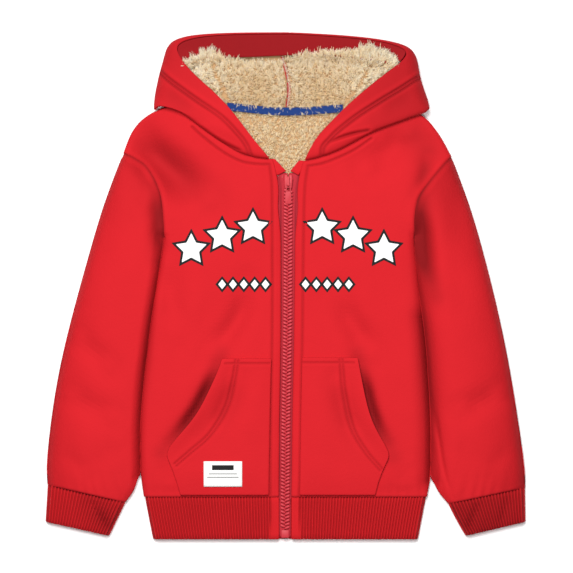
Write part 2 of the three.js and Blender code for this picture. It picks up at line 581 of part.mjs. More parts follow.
// The hem rib is one strip, from the zip round the left side, under the back, and up to the zip
function hemRib() {
  const fold = RIB_HEIGHT / 2;
  const width = 9;
  const rows = HEM_RIB.map((row) => {
    const top = (zip, side) => ribShares(HEM_RIBS).map((share) => {
      const x = lerp(zip, side, share);
      const full = round(Math.abs(side - x) / width);
      const groove = Math.abs(x - zip) < PLAIN_STRIP ? 0 : ribRelief(HEM_RIBS)(share) * full;
      const pull = (1 - full) * EDGE_WALL * Math.sign(zip - side);
      return {
        outer: at(x, row.y, lerp(fold, RIB_HEIGHT, full) + groove),
        inner: at(x + pull, row.y, fold + (LAYER_GAP / 2) * Math.min(1, full + 0.05)),
      };
    });
    const under = [0.012, 0.04, 0.2, 0.35, 0.5, 0.65, 0.8, 0.96, 0.988].map((share) => {
      const x = lerp(row.left, row.right, share);
      const full = round(Math.min(x - row.left, row.right - x) / width);
      const pull = (1 - full) * EDGE_WALL * (share < 0.5 ? 1 : -1);
      return {
        outer: at(x, row.y, fold * (1 - full)),
        inner: at(x + pull, row.y, fold - (LAYER_GAP / 2) * Math.min(1, full + 0.05)),
      };
    });
    return [...top(row.zipLeft, row.left), ...under, ...top(row.zipRight, row.right).reverse()];
  });
  return wall('hem_rib', rows.map((r) => r.map((p) => p.outer)), rows.map((r) => r.map((p) => p.inner)), RIB);
}

function pocketHeight(s, x, y) {
  const row = rowWhere(s.pocket, 'y', y);
  const fromMouth = Math.abs(row.far - x);
  const lift = POCKET_MOUTH * Math.max(0, row.mouth) * (1 - smoothstep(fromMouth, 2, 22));
  return frontHeight(s, x, y, ['body']) + POCKET_GAP + lift + POCKET_WALL;
}

function pocket(label) {
  const s = SIDES[label];
  const shares = [0, 0.16, 0.34, 0.52, 0.7, 0.84, 0.94, 1];
  const rows = range(13).map((i) => {
    const row = rowAt(s.pocket, (i / 12) * (s.pocket.length - 1));
    return shares.map((share) => {
      const x = lerp(row.near, row.far, share);
      const z = pocketHeight(s, x, row.y);
      return { outer: at(x, row.y, z), inner: at(x, row.y, z - POCKET_WALL) };
    });
  });
  return wall(`pocket_${label}`, rows.map((r) => r.map((p) => p.outer)), rows.map((r) => r.map((p) => p.inner)), FLEECE);
}

function labelPatch() {
  const rows = range(4).map((r) => range(5).map((c) => {
    const x = lerp(LABEL.left, LABEL.right, c / 4);
    const y = lerp(LABEL.low, LABEL.high, r / 3);
    const z = pocketHeight(SIDES.left, x, y) + 0.5;
    return { outer: at(x, y, z + LABEL.thick), inner: at(x, y, z) };
  }));
  return wall('label_patch', rows.map((r) => r.map((p) => p.outer)), rows.map((r) => r.map((p) => p.inner)), LABEL_WHITE);
}

// How high the hood's turned-back side stands, from its foot on the fronts up to its full height
const hoodRise = (t) => round(t / 0.7);

// One side of the hood: from the edge of the face opening, out over the top, round the outer fold,
// and back along the table to the centre seam
function hoodSide(label) {
  const s = SIDES[label];
  const stations = [0, 0.12, 0.4, 1, 2, 3, 4, 5, 6, 7, 8, 9, 10, 11];
  const flapShares = [0, 0.05, 0.2, 0.4, 0.6, 0.8];
  const turns = [0, 0.3, 0.6, 0.85, 1].map((i) => i * Math.PI / 2);
  const rows = stations.map((t) => {
    const row = rowAt(s.hood, t);
    const edge = new THREE.Vector2(row.edgeX, row.edgeY);
    const fold = new THREE.Vector2(row.foldX, row.foldY);
    const seam = new THREE.Vector2(row.seamX, row.seamY);
    const footFade = Math.max(0, 1 - t / 1.6) ** 1.5;
    const neckFade = Math.max(0, 1 - t / 9) ** 2;
    const first = s.hood[0];
    const shiftOf = (points, share, from, to) => along(points, share)
      .sub(new THREE.Vector2(lerp(from[0], to[0], share), lerp(from[1], to[1], share)));
    const top = (share) => edge.clone().lerp(fold, share).addScaledVector(
      shiftOf(s.foot, share, [first.edgeX, first.edgeY], [first.foldX, first.foldY]), footFade,
    );
    const under = (share) => fold.clone().lerp(seam, share).addScaledVector(
      shiftOf(s.hoodNeck, share, [first.foldX, first.foldY], [first.seamX, first.seamY]), neckFade,
    );
    const flapLength = edge.distanceTo(fold);
    const underLength = fold.distanceTo(seam);
    const curveShare = Math.min(16, flapLength * 0.7) / flapLength;
    const floorShare = Math.min(22, underLength * 0.4) / underLength;
    const rise = hoodRise(t);
    const high = lerp(HOOD_EDGE_HEIGHT, HOOD_HEIGHT, rise);
    const foldHeight = lerp(15.5, 12, smoothstep(t, 0, 1.5));
    const outward = fold.clone().sub(t > 8 ? seam : edge).normalize();
    const points = [];
    for (const share of flapShares) {
      const p = top(share * (1 - curveShare));
      const rolled = share === 0 ? 0.8 : 0;
      points.push({ outer: at(p.x, p.y, high - rolled), inner: at(p.x, p.y, high - HOOD_WALL + rolled * 0.5) });
    }
    for (const turn of turns) {
      const p = top(1 - curveShare * (1 - Math.sin(turn)));
      const lean = Math.sin(turn);
      const z = lerp(foldHeight, high, Math.cos(turn));
      points.push({
        outer: at(p.x, p.y, z),
        inner: at(p.x - outward.x * lean * HOOD_WALL, p.y - outward.y * lean * HOOD_WALL, z - HOOD_WALL * Math.cos(turn)),
      });
    }
    for (const turn of [...turns].reverse().slice(1)) {
      const p = under(floorShare * (1 - Math.sin(turn)));
      const lean = Math.sin(turn);
      const z = foldHeight * (1 - Math.cos(turn));
      points.push({
        outer: at(p.x, p.y, z),
        inner: at(p.x - outward.x * lean * HOOD_WALL, p.y - outward.y * lean * HOOD_WALL, z + HOOD_WALL * Math.cos(turn)),
      });
    }
    for (const share of [0.25, 0.5, 0.75, 1]) {
      const p = under(lerp(floorShare, 1, share));
      const clear = share === 1 ? s.out * SEAM_GAP / 2 : 0;
      const x = share === 1 ? row.seamX + clear : p.x;
      points.push({ outer: at(x, p.y, 0), inner: at(x, p.y, HOOD_WALL) });
    }
    return points;
  });
  return wall(`hood_${label}`, rows.map((r) => r.map((p) => p.outer)), rows.map((r) => r.map((p) => p.inner)), FLEECE);
}

// The edge of the face opening as one closed outline, and how far inside it a place is
const OPENING = [...LEFT_HOOD, ...[...RIGHT_HOOD].reverse()].map((r) => new THREE.Vector2(r.edgeX, r.edgeY));

function insideOpening(x, y) {
  let nearest = Infinity;
  let isInside = false;
  OPENING.forEach((a, i) => {
    const b = OPENING[(i + 1) % OPENING.length];
    const dx = b.x - a.x;
    const dy = b.y - a.y;
    const t = clamp(((x - a.x) * dx + (y - a.y) * dy) / (dx * dx + dy * dy), 0, 1);
    nearest = Math.min(nearest, Math.hypot(x - a.x - t * dx, y - a.y - t * dy));
    if ((a.y > y) !== (b.y > y) && x < a.x + (dx * (y - a.y)) / dy) isInside = !isInside;
  });
  return isInside ? nearest : -nearest;
}

// Height of the hood's pile: high where the sides turn up under the flaps, with a crease where the
// sides meet the back of the hood, and low under the facing and at the neck tape
function hoodPileHeight(x, y) {
  const inside = insideOpening(x, y);
  const creaseX = x < 2 ? lerp(-68, -98, clamp((y - 219) / 65, 0, 1)) : lerp(68, 112, clamp((y - 216) / 65, 0, 1));
  const fromCrease = (x - creaseX) * (x < 2 ? -1 : 1);
  const sides = 12 + 5.5 * smoothstep(fromCrease, 1, 18);
  const back = 12 - 1.2 * Math.exp(-(((x - 2) / 26) ** 2)) + 1.6 * Math.exp(-(((fromCrease + 16) / 10) ** 2));
  const open = fromCrease > 0 ? sides : back;
  const underFacing = 20.2 - FACING_SLOPE * Math.max(inside, 0);
  const facingHere = smoothstep(y, 257, 264);
  const tapeShelf = 4.6 * (1 - smoothstep(y, 219, 228));
  return Math.min(open - (fromCrease > 0 ? 0 : tapeShelf), lerp(30, underFacing - 1.4, facingHere), 17.6);
}

function hoodLining(label) {
  const s = SIDES[label];
  const stations = [0.25, 0.8, 1.6, 2.5, 3.5, 4.5, 5.5, 6.5, 7.5, 8.5, 9.5, 10.6];
  const rows = stations.map((t) => {
    const row = rowAt(s.hood, t);
    const first = s.hood[0];
    const fold = new THREE.Vector2(row.foldX, row.foldY);
    const seam = new THREE.Vector2(row.seamX, row.seamY + 1.5);
    const neckFade = Math.max(0, 1 - t / 9) ** 2;
    const length = fold.distanceTo(seam);
    const start = t < 1 ? 46 / length : Math.min(21 / length, 0.5);
    return [0, 0.1, 0.22, 0.34, 0.46, 0.58, 0.7, 0.85, 1].map((share) => {
      const place = lerp(start, 1, share);
      const shift = along(s.hoodNeck, place).sub(new THREE.Vector2(
        lerp(first.foldX, first.seamX, place), lerp(first.foldY, first.seamY, place),
      ));
      const p = fold.clone().lerp(seam, place).addScaledVector(shift, neckFade);
      if (share === 1) p.x = row.seamX + s.out * SEAM_GAP / 2;
      return { outer: at(p.x, p.y, hoodPileHeight(p.x, p.y)), inner: at(p.x, p.y, HOOD_WALL + 1.1) };
    });
  });
  return wall(`hood_lining_${label}`, rows.map((r) => r.map((p) => p.outer)), rows.map((r) => r.map((p) => p.inner)), PILE);
}

// The hood's hem turned inside, which shows across the top of the face opening
function hoodFacing() {
  const rows = range(18).map((i) => {
    const row = rowAt(FACING, (i / 17) * (FACING.length - 1));
    return [0, 0.33, 0.66, 1].map((share) => {
      const x = lerp(row.edgeX, row.pileX, share);
      const y = lerp(row.edgeY, row.pileY, share);
      const z = 22.4 - FACING_SLOPE * Math.max(insideOpening(x, y), 0);
      return { outer: at(x, y, z), inner: at(x, y, z - 1.8) };
    });
  });
  return wall('hood_facing', rows.map((r) => r.map((p) => p.outer)), rows.map((r) => r.map((p) => p.inner)), FLEECE);
}

// Blue tape that covers the neck seam inside
const NECK_TAPE = [
  { x: -70, y: 215.5 }, { x: -52, y: 214 }, { x: -26, y: 211 }, { x: 2, y: 209.5 },
  { x: 30, y: 210.5 }, { x: 52, y: 212.5 }, { x: 69, y: 213.5 },
];

function neckTape() {
  const rows = range(13).map((i) => {
    const p = along(NECK_TAPE, i / 12);
    return [-4.8, 4.8].map((across) => ({
      outer: at(p.x, p.y + across, LINING_NECK_TOP + 1.2), inner: at(p.x, p.y + across, LINING_NECK_TOP + 0.3),
    }));
  });
  return wall('neck_tape', rows.map((r) => r.map((p) => p.outer)), rows.map((r) => r.map((p) => p.inner)), TAPE_BLUE);
}

// Zip
const ZIP_TOP = 150;
const ZIP_BOTTOM = -302;
const SLIDER = { low: 117.5, high: 134, wideTop: 5.4, wideLow: 4.4 };
const CHAIN_HALF = 4;

const zipCentre = (y) => {
  const leftEdge = rowWhere(LEFT_SIDE, 'y', y).zip;
  const rightEdge = rowWhere(RIGHT_SIDE, 'y', y).zip;
  return (leftEdge + rightEdge) / 2 + 0.3 * smoothstep(y, 60, 120);
};

function zipTape(label) {
  const { out } = SIDES[label];
  const levels = [ZIP_BOTTOM, -252.6, -248, -200, -140, -80, -20, 40, 90, 120, ZIP_TOP - 14];
  const rows = levels.map((y) => {
    const centre = zipCentre(y);
    const wide = y < -252 ? 6.8 : 14;
    return [0.3, wide / 2, wide].map((across) => ({
      outer: at(centre + out * across, y, TAPE_HIGH), inner: at(centre + out * across, y, TAPE_LOW),
    }));
  });
  return wall(`zip_tape_${label}`, rows.map((r) => r.map((p) => p.outer)), rows.map((r) => r.map((p) => p.inner)), ZIP_TAPE);
}

function zipChain() {
  const rows = range(19).map((i) => {
    const y = lerp(ZIP_BOTTOM + 9.5, SLIDER.low - 0.5, i / 18);
    const centre = zipCentre(y);
    return [-1, -0.55, 0.55, 1].map((share) => {
      const edge = Math.abs(share) === 1 ? 0.8 : 0;
      return {
        outer: at(centre + share * CHAIN_HALF, y, CHAIN_HIGH - edge),
        inner: at(centre + share * CHAIN_HALF, y, TAPE_HIGH + 0.3),
      };
    });
  });
  return wall('zip_chain', rows.map((r) => r.map((p) => p.outer)), rows.map((r) => r.map((p) => p.inner)), ZIP_PLASTIC);
}

// Extrudes an outline drawn in the X-Y plane up from a height
function plate(name, outline, low, high, paint) {
  const shape = new THREE.Shape(outline.map(([x, y]) => new THREE.Vector2(x, y)));
  const geometry = new THREE.ExtrudeGeometry(shape, { depth: high - low, bevelEnabled: false });
  const mesh = new THREE.Mesh(geometry, paint);
  mesh.name = name;
  mesh.position.z = low;
  return mesh;
}

function zipSlider() {
  const x = zipCentre(126);
  return plate('zip_slider', [
    [x - SLIDER.wideLow, SLIDER.low], [x + SLIDER.wideLow, SLIDER.low],
    [x + SLIDER.wideTop, SLIDER.high - 5], [x + SLIDER.wideTop - 1, SLIDER.high],
    [x + 1.4, SLIDER.high], [x, SLIDER.high - 3], [x - 1.4, SLIDER.high],
    [x - SLIDER.wideTop + 1, SLIDER.high], [x - SLIDER.wideTop, SLIDER.high - 5],
  ], TAPE_HIGH + 0.4, SLIDER_HIGH, ZIP_PLASTIC);
}

// The slider's bridge, a strap that the pull tab's bar hangs in. Drawn in Y-Z and extruded along X.
const BRIDGE = { low: 119.5, high: 131.5, top: 18, leg: 1.8, wide: 2.4, base: SLIDER_HIGH + 0.3 };

function zipBridge() {
  const outline = new THREE.Shape();
  outline.moveTo(BRIDGE.low, BRIDGE.base);
  outline.lineTo(BRIDGE.low, BRIDGE.top - 2);
  outline.quadraticCurveTo(BRIDGE.low, BRIDGE.top, BRIDGE.low + 2, BRIDGE.top);
  outline.lineTo(BRIDGE.high - 2, BRIDGE.top);
  outline.quadraticCurveTo(BRIDGE.high, BRIDGE.top, BRIDGE.high, BRIDGE.top - 2);
  outline.lineTo(BRIDGE.high, BRIDGE.base);
  outline.lineTo(BRIDGE.high - BRIDGE.leg, BRIDGE.base);
  outline.lineTo(BRIDGE.high - BRIDGE.leg, BRIDGE.top - 1.6);
  outline.lineTo(BRIDGE.low + BRIDGE.leg, BRIDGE.top - 1.6);
  outline.lineTo(BRIDGE.low + BRIDGE.leg, BRIDGE.base);
  const geometry = new THREE.ExtrudeGeometry(outline, { depth: BRIDGE.wide, bevelEnabled: false, curveSegments: 5 });
  // The outline's first axis becomes Y, its second Z, and the extrusion runs along X
  geometry.applyMatrix4(new THREE.Matrix4().set(0, 0, 1, 0, 1, 0, 0, 0, 0, 1, 0, 0, 0, 0, 0, 1));
  const mesh = new THREE.Mesh(geometry, ZIP_PLASTIC);
  mesh.name = 'zip_bridge';
  mesh.position.x = zipCentre(126) - BRIDGE.wide / 2;
  return mesh;
}

// The pull tab: a tapered plate with a window, whose top bar lies under the bridge. It droops until
// its tip is just clear of the chain.
const PULL = { barY: 122.5, barZ: 15, bar: 0.6, length: 24, half: 3.6, window: 2, windowEnd: 9, droop: 6 };

function zipPull() {
  const x = zipCentre(126);
  const outline = new THREE.Shape();
  outline.moveTo(-PULL.half + 0.6, PULL.bar);
  outline.lineTo(PULL.half - 0.6, PULL.bar);
  outline.lineTo(PULL.half - 0.6, -PULL.windowEnd - 1);
  outline.lineTo(PULL.half, -PULL.windowEnd - 3);
  outline.lineTo(PULL.half, -PULL.length + 2);
  outline.quadraticCurveTo(PULL.half, -PULL.length, PULL.half - 2, -PULL.length);
  outline.lineTo(-PULL.half + 2, -PULL.length);
  outline.quadraticCurveTo(-PULL.half, -PULL.length, -PULL.half, -PULL.length + 2);
  outline.lineTo(-PULL.half, -PULL.windowEnd - 3.4);
  outline.lineTo(-PULL.half + 0.6, -PULL.windowEnd - 1.4);
  const window = new THREE.Path();
  window.moveTo(-PULL.window, -PULL.bar);
  window.lineTo(-PULL.window, -PULL.windowEnd);
  window.lineTo(PULL.window, -PULL.windowEnd);
  window.lineTo(PULL.window, -PULL.bar);
  outline.holes.push(window);
  const geometry = new THREE.ExtrudeGeometry(outline, { depth: PULL.bar * 2, bevelEnabled: false, curveSegments: 4 });
  geometry.translate(0, 0, -PULL.bar);
  const mesh = new THREE.Mesh(geometry, ZIP_PLASTIC);
  mesh.name = 'zip_pull';
  mesh.rotation.x = THREE.MathUtils.degToRad(PULL.droop);
  mesh.position.set(x, PULL.barY, PULL.barZ);
  return mesh;
}

function zipEnds() {
  const box = zipCentre(ZIP_BOTTOM + 4);
  const boxPiece = plate('zip_box', [
    [box - 4.6, ZIP_BOTTOM - 0.5], [box + 4.6, ZIP_BOTTOM - 0.5], [box + 4.6, ZIP_BOTTOM + 8.8], [box - 4.6, ZIP_BOTTOM + 8.8],
  ], TAPE_HIGH + 0.3, CHAIN_HIGH + 0.6, ZIP_PLASTIC);
  const leftEnd = plate('tape_end_left', [[-14, 152.5], [-9.5, 153], [0.8, 138], [-1.5, 136.8], [-7.5, 132.6]], 9.6, 12, FLEECE);
  const rightEnd = plate('tape_end_right', [[20, 150.3], [13.4, 151], [5.8, 138], [8, 136.8], [13.3, 132.8]], 9.6, 12, FLEECE);
  return [boxPiece, leftEnd, rightEnd];
}

const hoodie = new THREE.Group();
for (const label of ['left', 'right']) {
  hoodie.add(frontPanel(label), sleeve(label), cuff(label), pocket(label));
  hoodie.add(hoodSide(label), hoodLining(label), zipTape(label));
}
hoodie.add(backPanel(), backLining(), hemRib(), labelPatch(), hoodFacing(), neckTape());
hoodie.add(zipChain(), zipSlider(), zipBridge(), zipPull(), ...zipEnds());

export default hoodie;
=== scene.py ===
# %% [markdown]
# A child's zip-up hoodie, laid flat on its back on a pale table. The cut pieces already exist as
# plain solids, in place and at their real size. This lesson dresses each one: cloth gets smooth
# folds, pressed seams and stitches, the lining gets its pile, and the zip gets its teeth. Every
# measure below is in millimetres, and MM turns it into Blender's metres.

# %% The frame of plain solids
import math

import bpy
import numpy as np
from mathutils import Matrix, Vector
from mathutils.bvhtree import BVHTree


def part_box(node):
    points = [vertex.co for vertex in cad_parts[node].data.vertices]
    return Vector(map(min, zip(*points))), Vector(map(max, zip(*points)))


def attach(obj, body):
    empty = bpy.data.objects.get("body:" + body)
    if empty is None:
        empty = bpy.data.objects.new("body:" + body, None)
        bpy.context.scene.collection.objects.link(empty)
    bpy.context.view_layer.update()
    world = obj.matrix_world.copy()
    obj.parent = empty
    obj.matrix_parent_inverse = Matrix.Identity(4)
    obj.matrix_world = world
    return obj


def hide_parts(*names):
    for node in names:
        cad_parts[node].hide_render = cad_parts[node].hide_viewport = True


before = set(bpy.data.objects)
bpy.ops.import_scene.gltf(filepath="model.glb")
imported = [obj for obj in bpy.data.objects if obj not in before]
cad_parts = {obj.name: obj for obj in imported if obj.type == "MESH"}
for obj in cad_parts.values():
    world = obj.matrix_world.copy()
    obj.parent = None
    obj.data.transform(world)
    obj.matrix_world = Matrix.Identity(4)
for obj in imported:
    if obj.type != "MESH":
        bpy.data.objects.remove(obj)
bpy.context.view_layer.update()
MM = 0.001
GARMENT = "garment"
print("nodes:", len(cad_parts))

# %% [markdown]
# The picture looks straight down on the garment, as a shop's flat-lay photograph does. A view with
# no perspective at all would do, but a real lens is closer to how such a picture is taken. A long one
# from three metres up keeps the outline almost free of perspective.

# %% Camera
PIXEL = 1.2  # millimetres of garment for one pixel of the photograph
PICTURE = 573
CAMERA_HEIGHT = 3000
CLOTH_TOP = 15  # the height at which the scale above holds
SENSOR = 36
CAMERA_X, CAMERA_Y = 1.2, -0.6  # the place on the garment that is the middle of the picture
FARTHEST = 20  # metres that the camera sees

bpy.ops.object.camera_add(
    location=(CAMERA_X * MM, CAMERA_Y * MM, CAMERA_HEIGHT * MM), rotation=(0, 0, 0),
)
camera = bpy.context.active_object
camera.data.sensor_width = SENSOR
camera.data.lens = SENSOR * (CAMERA_HEIGHT - CLOTH_TOP) / (PICTURE * PIXEL)
camera.data.clip_end = FARTHEST
bpy.context.scene.camera = camera
bpy.context.scene.view_settings.view_transform = "Standard"
print("lens:", round(camera.data.lens, 1))

# %% [markdown]
# The table is one plane just under the cloth. One bare lamp would throw hard shadows, and an even sky
# would hide the folds, so the light comes from two soft discs. The main one stands beyond the hood, so
# the side of each fold that faces the hem turns dark. The other hangs low over the middle: its light
# falls off towards both sleeves and rounds the whole garment.

# %% Table
TABLE_SIZE = 8  # metres
TABLE_GAP = 0.2  # the table lies this far under the cloth, so that the two never fill one plane

bpy.ops.mesh.primitive_plane_add(size=TABLE_SIZE, location=(0, 0, -TABLE_GAP * MM))
table = bpy.context.active_object
table.name = "table"
print("table:", TABLE_SIZE, "metres wide")

# %% Lights
SOFT_LIGHTS = [  # name, place and size in metres, power in watts
    ("key", (-0.4, 1.25, 2.8), 1.5, 110),
    ("top", (0.0, -0.12, 1.3), 0.5, 7.7),
]
SKY = 0.15  # strength of the even light from all round


def soft_light(name, place, size, power):
    """A disc of light that faces the origin."""
    bpy.ops.object.light_add(type="AREA", location=place)
    light = bpy.context.active_object
    light.name = name
    light.data.shape = "DISK"
    light.data.size = size
    light.data.energy = power
    aim = Vector((0, 0, 0)) - Vector(place)
    light.rotation_euler = aim.to_track_quat("-Z", "Y").to_euler()


for settings in SOFT_LIGHTS:
    soft_light(*settings)
world = bpy.data.worlds.new("studio")
bpy.context.scene.world = world
world.use_nodes = True
world.node_tree.nodes["Background"].inputs["Color"].default_value = (1, 1, 1, 1)
world.node_tree.nodes["Background"].inputs["Strength"].default_value = SKY

# %% [markdown]
# Cloth looks like cloth because of three small effects: fibres that stand up in a fine fuzz, dye
# that never takes quite evenly, and yarns that run in rows. They could be built again in each
# material. Here each is a node group with named inputs, built once, so that every material can use it
# with its own values. The helpers come first: each adds and wires a node in one call.

# %% Adding nodes
VECTOR, FLOAT, COLOUR = "NodeSocketVector", "NodeSocketFloat", "NodeSocketColor"


def new_group(name, inputs, outputs):
    tree = bpy.data.node_groups.new(name, "ShaderNodeTree")
    for label, kind, value in inputs:
        socket = tree.interface.new_socket(name=label, in_out="INPUT", socket_type=kind)
        if value is not None:
            socket.default_value = value
    for label, kind in outputs:
        tree.interface.new_socket(name=label, in_out="OUTPUT", socket_type=kind)
    return tree, tree.nodes.new("NodeGroupInput"), tree.nodes.new("NodeGroupOutput")


def node(tree, kind, sources=None, **settings):
    """Adds a node. sources maps an input's name or number to a socket to link or a value to set."""
    made = tree.nodes.new(kind)
    for label, value in settings.items():
        setattr(made, label, value)
    for label, value in (sources or {}).items():
        if isinstance(value, bpy.types.NodeSocket):
            tree.links.new(value, made.inputs[label])
        else:
            made.inputs[label].default_value = value
    return made


def maths(tree, operation, a, b=0.0):
    return node(tree, "ShaderNodeMath", {0: a, 1: b}, operation=operation).outputs[0]


def noise(tree, vector, scale, detail):
    sources = {"Vector": vector, "Scale": scale, "Detail": detail}
    return node(tree, "ShaderNodeTexNoise", sources).outputs[0]


print("socket kinds:", VECTOR, FLOAT, COLOUR)

# %% Fuzz
CLUMP_SHARE = 0.8  # relief of the clumps, as a share of that of single fibres

fuzz, given, result = new_group(
    "fuzz", [("Vector", VECTOR, None), ("Fibre", FLOAT, 900.0), ("Clump", FLOAT, 220.0)], [("Height", FLOAT)],
)
fibres = noise(fuzz, given.outputs["Vector"], given.outputs["Fibre"], 3.0)
clumps = noise(fuzz, given.outputs["Vector"], given.outputs["Clump"], 2.0)
raised = maths(fuzz, "ADD", fibres, maths(fuzz, "MULTIPLY", clumps, CLUMP_SHARE))
fuzz.links.new(raised, result.inputs["Height"])
print("fuzz:", len(fuzz.nodes), "nodes")


# %% Uneven dye
def blend_colours(tree, share, first, second):
    mixer = node(tree, "ShaderNodeMix", data_type="RGBA")
    for socket, value in ((mixer.inputs[0], share), (mixer.inputs[6], first), (mixer.inputs[7], second)):
        if isinstance(value, bpy.types.NodeSocket):
            tree.links.new(value, socket)
        else:
            socket.default_value = value
    return mixer.outputs[2]


dye, given, result = new_group(
    "uneven_dye",
    [("Vector", VECTOR, None), ("Colour", COLOUR, (1, 1, 1, 1)), ("Shade", COLOUR, (0, 0, 0, 1)),
     ("Scale", FLOAT, 30.0), ("Amount", FLOAT, 0.3)],
    [("Colour", COLOUR)],
)
patches = noise(dye, given.outputs["Vector"], given.outputs["Scale"], 4.0)
patchy = maths(dye, "MULTIPLY", patches, given.outputs["Amount"])
dyed = blend_colours(dye, patchy, given.outputs["Colour"], given.outputs["Shade"])
dye.links.new(dyed, result.inputs["Colour"])
print("uneven dye:", len(dye.nodes), "nodes")


# %% Yarn rows
def wave(tree, coordinate, pitch_mm):
    turns = maths(tree, "DIVIDE", maths(tree, "MULTIPLY", coordinate, 2 * math.pi / MM), pitch_mm)
    return maths(tree, "SINE", turns)


rows, given, result = new_group(
    "yarn_rows",
    [("Vector", VECTOR, None), ("Across", FLOAT, 1.2), ("Along", FLOAT, 1.0)],
    [("Height", FLOAT)],
)
axes = node(rows, "ShaderNodeSeparateXYZ", {0: given.outputs["Vector"]})
columns = wave(rows, axes.outputs["X"], given.outputs["Across"])
courses = wave(rows, axes.outputs["Y"], given.outputs["Along"])
both = maths(rows, "MULTIPLY", maths(rows, "ADD", columns, 1.2), maths(rows, "ADD", courses, 1.6))
rows.links.new(maths(rows, "MULTIPLY", both, 0.3), result.inputs["Height"])
print("groups:", [g.name for g in bpy.data.node_groups])

# %% [markdown]
# All cloth materials share one layout: object coordinates, perhaps turned to the piece's own grain,
# feed a colour group and a height group, and a Bump node turns the height into relief. A second Bump
# reads the attribute drape, in millimetres: the real fleece is loftier than its wall, and its folds
# turn the light more than the thin solid can. The attribute groove carries painted shade: it darkens
# the colour of what lies deep, between the wales of a rib or inside a tight fold, where shade falls,
# and of cloth that turns away from the light. Sheen stays on the shader's socket.

# %% The layout of a cloth material
DYE_SCALE, DYE_AMOUNT = 30.0, 0.35
# Painted shade: in a groove or a deep fold the colour darkens towards this share of the shade colour.
GROOVE_PAINTED_SHADE = 0.5  # colour at the bottom of a groove, as a share of the shade


def set_inputs(shader, values):
    for label, value in values.items():
        shader.inputs[label].default_value = value


def cloth(name, colour, shade, relief, depth_mm, turn=0.0, sheen=0.06, rough=0.85, gloss=0.16):
    """relief is (group, {input: value}). turn rotates the grain, in degrees."""
    material = bpy.data.materials.new(name)
    material.use_nodes = True
    tree = material.node_tree
    shader = tree.nodes["Principled BSDF"]
    place = node(tree, "ShaderNodeTexCoord").outputs["Object"]
    turned = {"Vector": place, "Rotation": (0, 0, math.radians(turn))}
    grain = node(tree, "ShaderNodeMapping", turned).outputs[0]
    dye_inputs = {
        "Vector": grain, "Colour": (*colour, 1), "Shade": (*shade, 1),
        "Scale": DYE_SCALE, "Amount": DYE_AMOUNT,
    }
    tint = node(tree, "ShaderNodeGroup", dye_inputs, node_tree=dye).outputs[0]
    # The attribute groove is a share of painted shade, which blends the colour towards a darker one.
    painted_shade_share = node(tree, "ShaderNodeAttribute", attribute_name="groove").outputs["Fac"]
    painted_shade_colour = tuple(GROOVE_PAINTED_SHADE * channel for channel in shade) + (1,)
    tree.links.new(blend_colours(tree, painted_shade_share, tint, painted_shade_colour), shader.inputs["Base Color"])
    group, values = relief
    height = node(tree, "ShaderNodeGroup", {"Vector": grain, **values}, node_tree=group).outputs[0]
    drape_mm = node(tree, "ShaderNodeAttribute", attribute_name="drape").outputs["Fac"]
    fold_inputs = {"Height": drape_mm, "Distance": MM, "Strength": 1.0}
    folds = node(tree, "ShaderNodeBump", fold_inputs).outputs[0]
    fine_inputs = {"Height": height, "Distance": depth_mm * MM, "Strength": 1.0, "Normal": folds}
    bump = node(tree, "ShaderNodeBump", fine_inputs)
    tree.links.new(bump.outputs[0], shader.inputs["Normal"])
    set_inputs(shader, {
        "Roughness": rough, "Specular IOR Level": gloss, "Sheen Weight": sheen, "Sheen Roughness": 0.5,
        "Sheen Tint": (*colour, 1),
    })
    return material


def nap(fibre, clump):
    return fuzz, {"Fibre": fibre, "Clump": clump}


def weave(across, along):
    return rows, {"Across": across, "Along": along}


fleece = cloth("red_fleece", (0.52, 0.0095, 0.015), (0.40, 0.006, 0.010), nap(1100.0, 240.0), 0.26)
print("red_fleece:", len(fleece.node_tree.nodes), "nodes")

# %% [markdown]
# Every finish differs from the fleece in its colours, its relief and its gloss alone. The rib runs
# along each cuff, so it has a copy of its own for each direction. Ink is a dull film, and resin shines
# a little more than cloth.

# %% Red cloths and threads
RIB_RED = (0.60, 0.011, 0.016)
RIB_SHADE = (0.36, 0.006, 0.009)
CUFF_GRAIN = {"left": -12.5, "right": 11.5}  # degrees that each cuff is turned
# The facing is the same fleece as the outside; its darker red is painted shade, for the shade under the
# hood's turned hem.
facing_fleece_painted_shade = cloth("red_facing_painted_shade", (0.27, 0.006, 0.009), (0.20, 0.004, 0.007), weave(1.3, 1.1), 0.12)
rib_knit = {
    turn: cloth(f"red_rib_{index}", RIB_RED, RIB_SHADE, weave(0.8, 1.1), 0.2, turn=turn)
    for index, turn in enumerate((0.0, CUFF_GRAIN["left"], CUFF_GRAIN["right"]))
}
thread = cloth("red_thread", (0.45, 0.009, 0.015), (0.33, 0.007, 0.010), nap(2600.0, 1500.0), 0.05)
pale_thread = cloth("pale_thread", (0.85, 0.72, 0.64), (0.7, 0.4, 0.35), nap(2600.0, 1500.0), 0.05)
print("ribs:", [material.name for material in rib_knit.values()])

